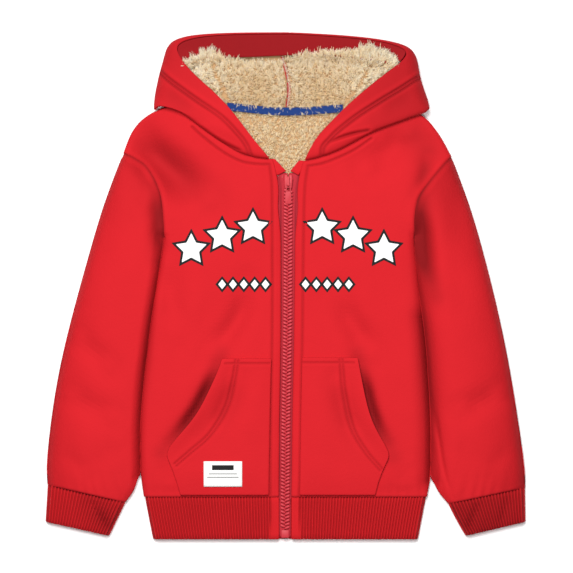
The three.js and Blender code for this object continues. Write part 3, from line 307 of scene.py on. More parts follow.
# %% Tapes, label, ink, table and resin
blue_tape = cloth(
    "blue_tape", (0.016, 0.048, 0.20), (0.009, 0.028, 0.13), weave(0.9, 0.9), 0.25, turn=45,
)
zip_weave = cloth("zip_weave", (0.46, 0.026, 0.040), (0.34, 0.014, 0.024), weave(0.7, 0.9), 0.15)
label_satin = cloth(
    "label_satin", (0.88, 0.88, 0.86), (0.75, 0.75, 0.75), weave(0.4, 0.4), 0.04, rough=0.5,
)
ink_white = cloth(
    "ink_white", (0.80, 0.80, 0.79), (0.70, 0.70, 0.70), nap(900.0, 250.0), 0.06, sheen=0.0,
)
ink_black = cloth(
    "ink_black", (0.012, 0.012, 0.013), (0.03, 0.03, 0.03), nap(900.0, 250.0), 0.06, sheen=0.0, gloss=0.08,
)
table_paint = cloth(
    "table_paint", (0.96, 0.96, 0.96), (0.93, 0.93, 0.93), nap(60.0, 12.0), 0.02, sheen=0.0,
)
table.data.materials.append(table_paint)
resin = cloth(
    "zip_resin", (0.50, 0.026, 0.040), (0.40, 0.018, 0.028), nap(500.0, 150.0), 0.015,
    sheen=0.0, rough=0.5, gloss=0.3,
)
print("materials:", len(bpy.data.materials))

# %% [markdown]
# The pile's colour runs along each lock: tan and dull at the root, cream at the tip. A noise could
# not know where a lock ends, so the geometry carries that as an attribute called tip, and each lock
# also has a random number called shade. Light passes through fine hair, which a little subsurface
# scattering stands for.


# %% Pile material
def pile_material(name, root, tip):
    material = bpy.data.materials.new(name)
    material.use_nodes = True
    tree = material.node_tree
    shader = tree.nodes["Principled BSDF"]
    up = node(tree, "ShaderNodeAttribute", attribute_name="tip").outputs["Fac"]
    random_shade = node(tree, "ShaderNodeAttribute", attribute_name="shade").outputs["Fac"]
    ramp = blend_colours(tree, up, (*root, 1), (*tip, 1))
    darker = blend_colours(tree, maths(tree, "MULTIPLY", random_shade, 0.7), ramp, (*root, 1))
    tree.links.new(darker, shader.inputs["Base Color"])
    place = node(tree, "ShaderNodeTexCoord").outputs["Object"]
    strands = noise(tree, place, 2500.0, 2.0)
    bump = node(tree, "ShaderNodeBump", {"Height": strands, "Distance": 0.08 * MM})
    tree.links.new(bump.outputs[0], shader.inputs["Normal"])
    set_inputs(shader, {
        "Roughness": 0.75, "Specular IOR Level": 0.3, "Sheen Weight": 0.2, "Subsurface Weight": 0.35,
        "Subsurface Scale": 1.5 * MM, "Subsurface Radius": (1.0, 0.75, 0.45),
    })
    return material


hood_pile = pile_material("hood_pile", (0.74, 0.45, 0.18), (0.97, 0.86, 0.62))
neck_pile = pile_material("neck_pile", (0.84, 0.54, 0.25), (0.97, 0.83, 0.54))
# The backing is the pile's real base cloth, coloured darker as painted shade: where it shows between the
# locks and in the partings at the creases, it stands for the shade that falls there.
backing_and_painted_shade = cloth("pile_backing_and_painted_shade", (0.44, 0.27, 0.13), (0.34, 0.20, 0.10), nap(700.0, 200.0), 0.4)
print("pile:", hood_pile.name, neck_pile.name, backing_and_painted_shade.name)

# %% [markdown]
# The plain solids are coarse, closed walls. A piece of cloth starts as a copy of its solid: loose
# triangles are merged and paired into quads, sharp rims get a crease so that they stay where the
# seam is, and a subdivision surface rounds the rest. The copy then stands in for the solid.


# %% Reading and writing points
def make_active(piece):
    bpy.ops.object.select_all(action="DESELECT")
    piece.select_set(True)
    bpy.context.view_layer.objects.active = piece


def points_of(piece):
    flat = np.empty(len(piece.data.vertices) * 3)
    piece.data.vertices.foreach_get("co", flat)
    return flat.reshape(-1, 3) / MM


def put_points(piece, points):
    piece.data.vertices.foreach_set("co", (points * MM).ravel())
    piece.data.update()


def normals_of(piece):
    flat = np.empty(len(piece.data.vertices) * 3)
    piece.data.vertices.foreach_get("normal", flat)
    return flat.reshape(-1, 3)


print("back panel:", len(points_of(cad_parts["back_panel"])), "points")

# %% Copying a solid
MERGE = 0.01  # points closer than this are one point
PAIR_BEND, PAIR_SKEW = 60, 150  # degrees, within which two triangles become one quad


def copy_solid(solid, name, levels=2, crease=0.85, sharp=50, before=None):
    """before is a change to make to the merged copy while it still has the solid's own points."""
    make_active(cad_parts[solid])
    bpy.ops.object.duplicate()
    piece = bpy.context.active_object
    piece.name = piece.data.name = name
    piece.parent = None
    for key in list(piece.keys()):
        del piece[key]
    piece.data.materials.clear()
    bpy.ops.mesh.customdata_custom_splitnormals_clear()
    bpy.ops.object.mode_set(mode="EDIT")
    bpy.ops.mesh.select_mode(type="EDGE")
    bpy.ops.mesh.select_all(action="SELECT")
    bpy.ops.mesh.mark_sharp(clear=True)
    bpy.ops.mesh.remove_doubles(threshold=MERGE * MM)
    bpy.ops.mesh.tris_convert_to_quads(
        face_threshold=math.radians(PAIR_BEND), shape_threshold=math.radians(PAIR_SKEW),
    )
    bpy.ops.mesh.select_all(action="DESELECT")
    bpy.ops.mesh.edges_select_sharp(sharpness=math.radians(sharp))
    bpy.ops.transform.edge_crease(value=crease)
    bpy.ops.object.mode_set(mode="OBJECT")
    if before:
        before(piece)
    if levels:
        rounder = piece.modifiers.new("rounder", "SUBSURF")
        rounder.levels = rounder.render_levels = levels
        bpy.ops.object.modifier_apply(modifier="rounder")
    bpy.ops.object.shade_smooth()
    return piece


print("quads are paired within", PAIR_BEND, "degrees")

# %% [markdown]
# Seams, rows of stitches and folds are all lines on the plan, and what the cloth does depends on how
# far it lies from them. They could be sculpted by hand, or dropped in by a cloth simulation. Here the
# garment lies flat and each fold has its known place, so its depth is worked out from that distance.


# %% Distance to a line
def step_to(line, xy):
    """The step from each point to the nearest place on a line of points."""
    line = np.asarray(line, float)
    steps = np.full((len(xy), 2), 1e6)
    for a, b in zip(line[:-1], line[1:]):
        ab = b - a
        share = np.clip((xy - a) @ ab / (ab @ ab), 0, 1)
        step = a + share[:, None] * ab - xy
        closer = np.hypot(*step.T) < np.hypot(*steps.T)
        steps[closer] = step[closer]
    return steps


def distance_to(line, xy):
    return np.hypot(*step_to(line, xy).T)


print("beside a line:", distance_to([(0, 0), (0, 10)], np.array([[3.0, 4.0]]))[0], "mm")


# %% Drawing a rim to its seam
def meet(piece, line, reach, amount, over=0.15):
    """Draws a piece's rim towards a seam line by up to amount, so that the two sides of it touch."""
    points = points_of(piece)
    step = step_to(line, points[:, :2])
    away = np.maximum(np.hypot(*step.T), 0.01)
    pull = np.minimum(amount * np.clip(1 - away / reach, 0, 1), away + over)
    points[:, :2] += step / away[:, None] * pull[:, None]
    put_points(piece, points)


LINE_STEP = 4.0  # between the points of a smooth line
CURVE_STEPS = 12  # fine points between two given ones


def smooth_line(points, step=LINE_STEP):
    """Evenly spaced points on a smooth curve through the given ones."""
    points = np.asarray(points, float)
    padded = np.vstack([2 * points[0] - points[1], points, 2 * points[-1] - points[-2]])
    fine = []
    for i in range(len(points) - 1):
        p0, p1, p2, p3 = padded[i : i + 4]
        for f in np.linspace(0, 1, CURVE_STEPS, endpoint=False):
            fine.append(0.5 * (2 * p1 + (p2 - p0) * f + (2 * p0 - 5 * p1 + 4 * p2 - p3) * f**2
                               + (3 * p1 - p0 - 3 * p2 + p3) * f**3))
    fine = np.vstack([fine, points[-1]])
    run = np.concatenate([[0], np.cumsum(np.hypot(*np.diff(fine, axis=0).T))])
    wanted = np.linspace(0, run[-1], max(2, round(run[-1] / step) + 1))
    return np.column_stack([np.interp(wanted, run, fine[:, k]) for k in (0, 1)])


print("smooth line:", len(smooth_line([(0, 0), (40, 10), (80, 0)])), "points")

# %% Finer faces, and moving the cloth
UNDERSIDE = 8.0  # what lies lower than this faces the table, and isn't shaped


def refine(piece, lines, reach, lowest=UNDERSIDE):
    """Halves the upward faces that lie near any of the lines, so that a narrow groove has points."""
    flat = np.empty(len(piece.data.polygons) * 3)
    piece.data.polygons.foreach_get("center", flat)
    centres = flat.reshape(-1, 3) / MM
    piece.data.polygons.foreach_get("normal", flat)
    facing_up = (flat.reshape(-1, 3)[:, 2] > 0.2) & (centres[:, 2] > lowest)
    if lines is None:
        chosen = facing_up
    else:
        near = np.min([distance_to(line, centres[:, :2]) for line in lines], axis=0)
        chosen = facing_up & (near < reach)
    make_active(piece)
    bpy.ops.object.mode_set(mode="EDIT")
    bpy.ops.mesh.select_mode(type="FACE")
    bpy.ops.mesh.select_all(action="DESELECT")
    bpy.ops.object.mode_set(mode="OBJECT")
    piece.data.polygons.foreach_set("select", chosen)
    bpy.ops.object.mode_set(mode="EDIT")
    bpy.ops.mesh.subdivide(number_cuts=1)
    bpy.ops.object.mode_set(mode="OBJECT")


def push(piece, depth_at, lowest=UNDERSIDE, through=False):
    """Moves the upward-facing points of a piece up or down by depth_at(xy), in millimetres. through
    moves the underside with them, as a thin wall needs."""
    points = points_of(piece)
    up = (points[:, 2] > lowest) * (1 if through else np.clip(normals_of(piece)[:, 2] * 1.6, 0, 1))
    points[:, 2] += depth_at(points[:, :2]) * up
    put_points(piece, points)


print("cloth is shaped above", UNDERSIDE, "mm")


# %% Waves, pressed lines and folds
def swell(xy, size, seed):
    """Slow uneven waves, from -1 to 1, that keep cloth from looking machined."""
    x, y = xy[:, 0] / size, xy[:, 1] / size
    return (np.sin(1.7 * x + 0.6 * y + seed) + np.sin(-0.9 * x + 1.4 * y + 2.1 * seed)
            + np.sin(0.5 * x - 2.2 * y + 0.7 * seed)) / 3


def groove(lines, width, depth):
    """A pressed line of stitches, with the cloth a little proud beside it."""
    def depth_at(xy):
        near = np.min([distance_to(line, xy) for line in lines], axis=0)
        proud = 0.25 * depth * np.exp(-(((near - 2.6 * width) / (1.6 * width)) ** 2))
        return -depth * np.exp(-((near / width) ** 2)) + proud
    return depth_at


def hollow(points, wide, deep):
    """A soft fold along a line. It fades out towards its ends. A negative depth makes a ridge."""
    line = smooth_line(points, 8.0)
    length = np.hypot(*np.diff(line, axis=0).T).sum()

    def depth_at(xy):
        ends = np.minimum(np.hypot(*(xy - line[0]).T), np.hypot(*(xy - line[-1]).T)) / length
        inward = np.clip(ends * 2.5, 0, 1)
        fade = 0.25 + 0.75 * inward**2 * (3 - 2 * inward)
        return -deep * np.exp(-((distance_to(line, xy) / wide) ** 2)) * fade
    return depth_at


def trough(x1, y1, x2, y2, wide, deep, hook=0.0):
    """A fold between two points. hook bows it to one side."""
    middle = ((x1 + x2) / 2 - (y2 - y1) * hook, (y1 + y2) / 2 + (x2 - x1) * hook)
    return hollow([(x1, y1), middle, (x2, y2)], wide, deep)


print("a fold's middle:", trough(0, 0, 0, 100, 10, 2)(np.array([[0.0, 50.0]]))[0], "mm")


# %% Cloth that turns away
def ramp(value, start, end):
    """0 before start, 1 past end, and a straight rise between them."""
    return np.clip((value - start) / (end - start), 0, 1)


def painted_shade_towards(start, end, amount):
    """A share of painted shade that grows from one place to another, for cloth that turns away from the
    light.
    """
    start, run = np.array(start, float), np.subtract(end, start)
    return lambda xy: -amount * np.clip((xy - start) @ run / (run @ run), 0, 1)


def lean_away(start, end, drop):
    """A surface that turns down ever more steeply from one place across to another."""
    return lambda xy: -drop * ramp(xy[:, 0], start, end) ** 2


def fall_away(line, reach, drop):
    """A rounded flank: the cloth drops ever more steeply towards its edge."""
    return lambda xy: -drop * np.clip(1 - distance_to(line, xy) / reach, 0, 1) ** 2


print("half way along a ramp:", ramp(5, 0, 10))


# %% Storing the folds and their painted shade, and dressing a piece
def drape(piece, folds, deep=(), lowest=UNDERSIDE):
    """Stores the loft of a piece's folds, in millimetres, and a share of painted shade from 0 to 1,
    which grows where a point lies deep inside a tight fold or a row of stitches, and where cloth turns from
    the light."""
    points = points_of(piece)
    on_top = points[:, 2] > lowest
    loft = sum(fold(points[:, :2]) for fold in folds) * on_top
    # depth is the share of painted shade that the material reads as groove.
    depth = np.clip(-sum(fold(points[:, :2]) for fold in deep) * on_top, 0, 1)
    for name, values in (("drape", loft), ("groove", depth)):
        layer = piece.data.attributes.get(name) or piece.data.attributes.new(name, "FLOAT", "POINT")
        before = np.zeros(len(points), np.float32)
        layer.data.foreach_get("value", before)
        layer.data.foreach_set("value", (before + values).astype(np.float32))


def wear(piece, solid, material):
    """Gives a cloth piece its material and its body, and hides the solid that it stands in for."""
    piece.data.materials.append(material)
    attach(piece, GARMENT)
    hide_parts(solid)


def surface_of(*pieces):
    """A function that gives the height of the topmost cloth at a place."""
    trees = [
        BVHTree.FromPolygons([v.co for v in p.data.vertices], [list(f.vertices) for f in p.data.polygons])
        for p in pieces
    ]

    def height(x, y):
        best = None
        for tree in trees:
            hit, normal, _, _ = tree.ray_cast(Vector((x * MM, y * MM, 0.2)), Vector((0, 0, -1)))
            if hit is not None and (best is None or hit.z > best[0].z):
                best = (hit, normal)
        return best
    return height


print("solids to dress:", len(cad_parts))

# %% [markdown]
# Sewing first, as lines on the plan. The zip edges are turned and topstitched ten millimetres in,
# the neck seam is topstitched just below the hood, and the pocket mouths have a wide stitched band.

# %% Seam lines
LEFT_EDGE = [(-8, -253), (-7.5, -169), (-6.5, -114), (-5.5, -41), (-5.5, 60), (-6, 120), (-12, 146)]
RIGHT_EDGE = [(7, -253), (8, -169), (9, -114), (10.5, -41), (11.5, 60), (13, 115), (18, 144)]
LEFT_ARMHOLE = [(-146, 60), (-146, 75), (-150.5, 112), (-166, 141.5), (-181, 153), (-195, 160)]
RIGHT_ARMHOLE = [(155, 60), (154.5, 82), (159, 105), (172, 124), (187, 142.5), (199.5, 156)]
LEFT_SIDE = [
    (-174, -228), (-174.5, -169), (-170.5, -114), (-166, -77), (-161.5, -41), (-153.5, 8.5), (-146, 60),
]
RIGHT_SIDE = [
    (174, -234), (175, -169), (172, -114), (169.5, -77), (165.5, -41), (158.5, 8.5), (155, 60),
]
HEM_SEAM = np.array([(-180.0, -252.7), (180.0, -252.7)])
ARMHOLE = {"left": smooth_line(LEFT_ARMHOLE), "right": smooth_line(RIGHT_ARMHOLE)}
SIDE = {"left": smooth_line(LEFT_SIDE), "right": smooth_line(RIGHT_SIDE)}
print("armhole:", len(ARMHOLE["left"]), "points")

# %% Stitch lines
PLACKET = 10  # from the zip edge to its topstitching
HEM_ROWS, POCKET_ROWS = 3.5, 3.6  # between the two rows of stitches
left_placket = smooth_line([(x - PLACKET, y) for x, y in LEFT_EDGE[:-1]] + [(-19, 145)])
right_placket = smooth_line([(x + PLACKET, y) for x, y in RIGHT_EDGE[:-1]] + [(27, 144)])
left_neck = smooth_line([(-19, 146), (-36, 146.5), (-54, 150), (-76, 161.5), (-100, 180), (-112, 191)])
right_neck = smooth_line([(27, 144), (44, 147), (63, 154), (84, 164), (103, 177)])
left_pocket = smooth_line([
    (-60, -89), (-63.5, -112), (-72.5, -145), (-91.5, -176.5), (-115.5, -198), (-133, -213),
])
right_pocket = smooth_line([(68.5, -88), (72, -129), (81.5, -169.5), (98, -198), (116, -219)])
left_hem = smooth_line([
    (-156, 265), (-141, 250), (-126.5, 239), (-104, 223), (-76, 204), (-58, 186), (-46, 170.5),
    (-40.5, 156.5),
])
right_hem = smooth_line([
    (160, 252), (149, 245), (137.5, 237.5), (110, 221), (83.5, 204), (63, 188), (52, 177), (43.5, 167),
    (42, 155),
])


def beside(line, offset):
    """A line at a distance to the left of another."""
    along = np.gradient(line, axis=0)
    along /= np.hypot(*along.T)[:, None]
    return line + offset * np.column_stack([-along[:, 1], along[:, 0]])


left_hem_lines = [left_hem, beside(left_hem, -HEM_ROWS)]
right_hem_lines = [right_hem, beside(right_hem, HEM_ROWS)]
left_pocket_lines = [left_pocket, beside(left_pocket, POCKET_ROWS)]
right_pocket_lines = [right_pocket, beside(right_pocket, -POCKET_ROWS)]
print("hem line:", len(left_hem), "points")

# %% [markdown]
# The two fronts carry the garment's biggest folds: a broad hollow that runs down from the left
# shoulder, and a hollow behind each pocket mouth where the cloth falls away from the hand opening.


# %% How a front is shaped
def along_seam(y_seam, size, amount):
    """Small gathers above a seam that runs across."""
    def depth_at(xy):
        fade = np.exp(-(np.abs(xy[:, 1] - y_seam) / 13))
        ripple = np.sin(2 * math.pi * (xy[:, 0] + 3 * np.sin(xy[:, 0] / 17)) / size)
        return amount * fade * ripple
    return depth_at


def dress_front(label, lines, folds, loft, deep):
    piece = copy_solid(f"front_{label}", f"front_{label}_cloth")
    refine(piece, None, 0)
    refine(piece, [*lines, ARMHOLE[label]], 7)
    push(piece, lambda xy: 0.3 * swell(xy, 24, 1.0 if label == "left" else 4.0))
    for fold in folds:
        push(piece, fold, through=True)
    push(piece, fall_away(SIDE[label], *FLANK[label]), through=True)
    push(piece, along_seam(-252.5, 11, 0.4))
    push(piece, groove(lines, 1.5, 1.2))
    push(piece, groove([ARMHOLE[label]], 2.4, 1.2))
    meet(piece, ARMHOLE[label], 5, 1.6, over=0.3)
    meet(piece, SIDE[label], 4, 0.4)
    meet(piece, HEM_SEAM, 4, 1.2, over=0.5)
    # Painted shade along the seams and in the listed deep places.
    drape(piece, loft, [groove([*lines, ARMHOLE[label], HEM_SEAM], 1.7, 0.45), *deep], lowest=7)
    wear(piece, f"front_{label}", fleece)
    return piece


print("hem seam at:", HEM_SEAM[0, 1])

# %% Folds of the fronts
MOUTH = {
    "left": [(-80, -94), (-94, -126), (-106, -149), (-121, -169), (-138, -188)],
    "right": [(88, -94), (96, -126), (102, -150), (111, -172), (122, -190)],
}
FLANK = {"left": (10, 0.8), "right": (22, 3.0)}  # how far in from the side seam it falls, and how much
left_folds = [
    trough(-180, 178, -122, 118, 14, 2.6, 0.05), trough(-168, 186, -104, 126, 14, 0.8, 0.05),
    hollow(MOUTH["left"], 7, 4.5), trough(-76, 0, -114, -92, 17, 2.6),
    trough(-96, 10, -118, -50, 20, -1.0), trough(-150, -20, -152, -120, 13, -1.0),
    trough(-60, 130, -52, 30, 20, -0.9), trough(-140, 60, -128, -10, 16, 1.2),
    trough(-40, 10, -36, -60, 14, 0.9), trough(-150, -210, -138, -240, 10, 1.0),
    trough(-132, 176, -92, 152, 10, -0.8), trough(-30, 130, -26, 40, 10, 0.6),
]
right_folds = [
    trough(172, 168, 160, 104, 10, 3.4, 0.04), trough(150, 180, 118, 150, 16, 1.4),
    hollow(MOUTH["right"], 7, 4.5), trough(66, -20, 108, -88, 16, 1.9),
    trough(148, 60, 140, -30, 14, 1.3), trough(158, -30, 160, -120, 12, -1.0),
    trough(62, 130, 58, 30, 22, -0.9), trough(100, 10, 96, -60, 22, -0.9),
    trough(38, 10, 36, -60, 14, 0.9), trough(150, -210, 140, -240, 10, 1.0),
]
print("folds:", len(left_folds), "and", len(right_folds))

# %% Loft and painted shade of the fronts
left_loft = [
    hollow([(-190, 186), (-152, 148), (-92, 98)], 22, 19), hollow([(-44, 2), (-58, -40), (-92, -84)], 14, 9),
    hollow(MOUTH["left"], 9, 7), trough(-146, 30, -130, -60, 16, 5),
]
right_loft = [
    fall_away(smooth_line(RIGHT_SIDE[:-2]), 24, 8), hollow(MOUTH["right"], 9, 7),
    trough(150, 186, 100, 140, 18, 7), trough(58, -10, 104, -84, 15, 6),
]
# Painted shade: the lists below colour the fronts darker where shade falls: in the hollows from both
# shoulders, behind each pocket mouth, by the right armhole and along both sides.
MOUTH_SHADE = {
    "left": [(-76, -82), *MOUTH["left"], (-147, -199)], "right": [(86, -82), *MOUTH["right"], (128, -203)],
}
left_painted_shade = [
    hollow([(-182, 178), (-160, 158), (-128, 132), (-88, 104)], 17, 0.34),
    hollow(MOUTH_SHADE["left"], 9, 1.15),
    hollow([(-151, 20), (-158, -30), (-164, -90), (-170, -160)], 7, 0.15),
]
right_painted_shade = [
    hollow([(140, 206), (160, 176), (178, 148)], 20, 0.3), hollow(MOUTH_SHADE["right"], 9, 1.15),
    hollow([(157, 112), (165, 132), (172, 158)], 8, 0.45),
    hollow([(155, 20), (161, -60), (170, -140), (171, -210)], 9, 0.3),
]
print("deep places:", len(left_painted_shade), "and", len(right_painted_shade))

# %% The two fronts
front_left = dress_front(
    "left", [left_placket, left_neck], left_folds, left_loft, left_painted_shade,
)
front_right = dress_front(
    "right", [right_placket, right_neck], right_folds, right_loft, right_painted_shade,
)
print("front:", len(front_left.data.polygons), "faces")

# %% [markdown]
# The back panel lies on the table with its face down. Sleeves are flattened tubes, with a few soft
# folds from the armhole and above the cuff. Their cuffs and the hem band are ribs whose grooves are
# already in the solid, so two subdivisions turn them into round ridges.

# %% Back panel
back = copy_solid("back_panel", "back_cloth")
wear(back, "back_panel", fleece)
print("back:", len(back.data.polygons), "faces")

# %% Folds of the sleeves
SLEEVE_FOLDS = {
    "left": [
        trough(-152, 128, -148, 38, 8, 1.6),
        trough(-186, 122, -178, 84, 16, 1.6), trough(-252, -60, -214, -96, 14, 1.4),
        trough(-262, -130, -206, -158, 15, 1.4, -0.1), trough(-214, 40, -236, -60, 24, -1.2),
        trough(-198, -186, -232, -222, 12, 1.4), trough(-270, -196, -236, -226, 9, 1.2),
        trough(-196, -110, -206, -200, 16, -1.0), trough(-238, -150, -250, -220, 13, -0.9),
    ],
    "right": [
        trough(163, 100, 176, 0, 10, 1.4),
        trough(196, 40, 214, -60, 16, 1.3, 0.05), trough(262, -126, 212, -148, 15, 1.4, 0.1),
        trough(222, 60, 240, -60, 22, -1.2), trough(200, -186, 240, -222, 12, 1.4),
        trough(272, -190, 240, -224, 9, 1.2), trough(210, -100, 218, -190, 18, -1.0),
        hollow([(176, -129), (184, -182), (191, -224), (201, -254)], 2.6, 2.0),
    ],
}
INNER_ROLL = {"left": (13, 1.8), "right": (22, 1.8)}  # how far in from the side seam, and how much
print("folds:", len(SLEEVE_FOLDS["left"]), "and", len(SLEEVE_FOLDS["right"]))

# %% Gathers above the cuffs
GATHER_PITCH, GATHER_RELIEF, GATHER_FADE = 12.5, 0.45, 14


def cuff_gathers(piece, label, cuff_low):
    """Puckers that run into the cuff seam, along the sleeve."""
    angle = math.radians(CUFF_GRAIN[label])
    across = np.array([math.cos(angle), -math.sin(angle)])
    down = np.array([-math.sin(angle), -math.cos(angle)])
    start = np.array(cuff_low)

    def depth_at(xy):
        away = np.abs((start - xy) @ down)
        ripple = np.sin(2 * math.pi * (xy @ across) / GATHER_PITCH + np.sin((xy @ across) / 9))
        return GATHER_RELIEF * ripple * np.exp(-away / GATHER_FADE)
    push(piece, depth_at)


print("gathers every", GATHER_PITCH, "mm")

# %% Loft and painted shade of the sleeves
LEFT_OUTER = [(-182, 186), (-207, 139), (-256, -17), (-285, -161), (-292, -300)]
RIGHT_OUTER = [(186, 186), (212, 139), (261, -17), (287, -161), (293, -300)]
OUTER = {"left": smooth_line(LEFT_OUTER), "right": smooth_line(RIGHT_OUTER)}
SLEEVE_LOFT = {
    "left": [
        fall_away(OUTER["left"], 66, 18), fall_away(SIDE["left"], 13, 7),
        trough(-155, 130, -150, 30, 12, 6),
        trough(-252, -60, -210, -100, 14, 3), trough(-262, -130, -206, -158, 14, 3),
        trough(-196, 162, -166, 96, 14, 5),
    ],
    "right": [
        fall_away(OUTER["right"], 70, 24), fall_away(SIDE["right"], 34, 13),
        trough(160, 128, 168, -10, 14, 7),
        trough(262, -126, 208, -150, 14, 3), trough(196, 130, 216, 40, 18, 3),
    ],
}
# Painted shade: the armpit folds and the side seams are coloured darker, and so is the cloth that turns from
# the light towards each shoulder.
SLEEVE_PAINTED_SHADE = {
    "left": [
        hollow([(-154, 120), (-152, 98), (-151.5, 76), (-151.5, 58), (-154, 34)], 8.5, 1.0),
        hollow(SIDE["left"], 6, 0.5), painted_shade_towards((-225, 60), (-185, 165), 0.22),
    ],
    "right": [
        hollow([(158, 124), (160, 92), (162.5, 56), (166, 30), (179, -12)], 10.5, 1.2),
        hollow(SIDE["right"], 7, 0.6), painted_shade_towards((214, 40), (186, 160), 0.3),
    ],
}
CUFF_SEAM = {
    "left": np.array([(-290.0, -237.9), (-188.0, -261.2)]),
    "right": np.array([(292.0, -241.4), (191.0, -262.6)]),
}
print("outer fold:", len(OUTER["left"]), "points")


# %% Sleeves
def dress_sleeve(label, seam_point):
    piece = copy_solid(f"sleeve_{label}", f"sleeve_{label}_cloth")
    refine(piece, None, 0)
    refine(piece, [ARMHOLE[label]], 8)
    push(piece, lambda xy: 0.35 * swell(xy, 22, 2.0 if label == "left" else 5.5))
    for fold in SLEEVE_FOLDS[label]:
        push(piece, fold)
    push(piece, fall_away(OUTER[label], 36, 1.8))
    push(piece, fall_away(SIDE[label], *INNER_ROLL[label]))
    push(piece, groove([ARMHOLE[label]], 2.4, 1.2))
    cuff_gathers(piece, label, seam_point)
    meet(piece, ARMHOLE[label], 7, 3.0, over=0.3)
    meet(piece, SIDE[label], 8, 4.0, over=0.6)
    meet(piece, CUFF_SEAM[label], 4, 1.2, over=0.3)
    # Painted shade along the armhole and cuff seams.
    seam_painted_shade = groove([ARMHOLE[label], CUFF_SEAM[label]], 2.0, 0.5)
    drape(piece, SLEEVE_LOFT[label], [seam_painted_shade, *SLEEVE_PAINTED_SHADE[label]], lowest=4)
    wear(piece, f"sleeve_{label}", fleece)
    return piece


sleeve_left = dress_sleeve("left", (-239, -249))
sleeve_right = dress_sleeve("right", (242, -251))
print("sleeves:", len(sleeve_left.data.polygons), "and", len(sleeve_right.data.polygons), "faces")

# %% Ribs
RIB_GAIN = 3.2  # how far rounding is made up for
RIB_SHADOW = 0.62  # how dark the sunken ribs are
RIB_REACH = (0.1, 2.7)  # neighbours lie between these distances
SUNKEN = -0.2


def deepen_ribs(piece):
    """Rounding flattens ribs, so each point first moves away from its two neighbours' height. The ones
    that lie lower get painted shade, which the material shows as a darker colour."""
    points = points_of(piece)
    top = np.flatnonzero(points[:, 2] > 8)
    xyz = points[top]
    gap = np.hypot(xyz[:, None, 0] - xyz[None, :, 0], xyz[:, None, 1] - xyz[None, :, 1])
    beside_it = (gap > RIB_REACH[0]) & (gap < RIB_REACH[1])
    mean = (beside_it * xyz[None, :, 2]).sum(axis=1) / np.maximum(beside_it.sum(axis=1), 1)
    proud = np.where(beside_it.any(axis=1), xyz[:, 2] - mean, 0)
    points[top, 2] += RIB_GAIN * proud
    put_points(piece, points)
    # Painted shade in the rib's grooves, as a share for the material.
    sunken_painted_shade = np.zeros(len(points))
    sunken_painted_shade[top] = RIB_SHADOW * (proud < SUNKEN)
    layer = piece.data.attributes.new("groove", "FLOAT", "POINT")
    layer.data.foreach_set("value", sunken_painted_shade.astype(np.float32))


print("ribs gain", RIB_GAIN, "times their height")

# %% Cuffs and hem band
CUFF_FOLDS = {
    "left": [[(-240, -250), (-226, -276), (-210, -300)], [(-206, -262), (-200, -282), (-206, -300)]],
    "right": [[(236, -254), (226, -280), (216, -304)], [(270, -246), (264, -272), (256, -296)]],
}
# Painted shade: the left cuff darkens in a fold and towards its inner end, the right one towards its lower
# inner corner.
CUFF_PAINTED_SHADE = {
    "left": [
        hollow([(-230, -262), (-214, -284), (-204, -302)], 14, 0.3),
        painted_shade_towards((-270, -280), (-180, -280), 0.1),
    ],
    "right": [painted_shade_towards((300, -150), (190, -330), 0.5)],
}


def dress_cuff(label):
    piece = copy_solid(f"cuff_{label}", f"cuff_{label}_rib", sharp=70, before=deepen_ribs)
    meet(piece, CUFF_SEAM[label], 4, 1.2, over=0.3)
    drape(piece, [hollow(fold, 6, 3) for fold in CUFF_FOLDS[label]], CUFF_PAINTED_SHADE[label])
    wear(piece, f"cuff_{label}", rib_knit[CUFF_GRAIN[label]])
    return piece


for label in ("left", "right"):
    dress_cuff(label)
hem_rib = copy_solid("hem_rib", "hem_rib_knit", sharp=70, before=deepen_ribs)
meet(hem_rib, HEM_SEAM, 4, 1.2, over=0.3)
wear(hem_rib, "hem_rib", rib_knit[0.0])
print("hem rib:", len(hem_rib.data.polygons), "faces")

# %% [markdown]
# Each pocket is one layer of fleece sewn on at its top, inner side and foot. Its curved mouth is
# turned under and stitched twice. That hem could be modelled as a second layer. A low ridge along the
# opening looks the same from outside.


# %% Pockets
def dress_pocket(label, lines, folds):
    piece = copy_solid(f"pocket_{label}", f"pocket_{label}_cloth", crease=0.7)
    refine(piece, None, 0)
    refine(piece, lines, 6)
    push(piece, lambda xy: 0.25 * swell(xy, 18, 3.0), through=True)
    for fold in folds:
        push(piece, fold, through=True)
    push(piece, hollow(MOUTH[label], 9, -1.4), through=True)
    push(piece, groove(lines, 1.4, 0.8))
    # Painted shade along the stitched mouth and in the fold behind it.
    deep = [groove(lines, 1.7, 0.28), hollow(POCKET_FOLD[label], 14, 0.2)]
    drape(piece, [hollow(POCKET_FOLD[label], 12, 3)], deep)
    wear(piece, f"pocket_{label}", fleece)
    return piece


POCKET_FOLD = {"left": [(-58, -108), (-70, -146), (-90, -176)], "right": [(62, -112), (70, -150), (88, -184)]}
left_top = smooth_line([(-19, -93), (-72, -93)])
right_top = smooth_line([(21, -92), (82, -92)])
pocket_left = dress_pocket("left", [*left_pocket_lines, left_top], [
    trough(-52, -106, -86, -186, 8, 1.5, -0.08), trough(-34, -100, -40, -200, 14, -0.8),
])
pocket_right = dress_pocket("right", [*right_pocket_lines, right_top], [
    trough(58, -110, 78, -182, 9, 1.4, 0.06), trough(36, -100, 42, -200, 14, -0.8),
])
print("pockets:", len(pocket_left.data.polygons), "and", len(pocket_right.data.polygons), "faces")

# %% [markdown]
# The hood lies open with its sides turned out over its back. Its hem is a wide turned band with two
# rows of stitches, and near the neck seam the thick cloth buckles into a narrow slit on one side
# and a hollow on the other.


# %% Hood
HOOD_TOP_SEAM = np.array([(5.0, 262.0), (5.0, 306.0)])


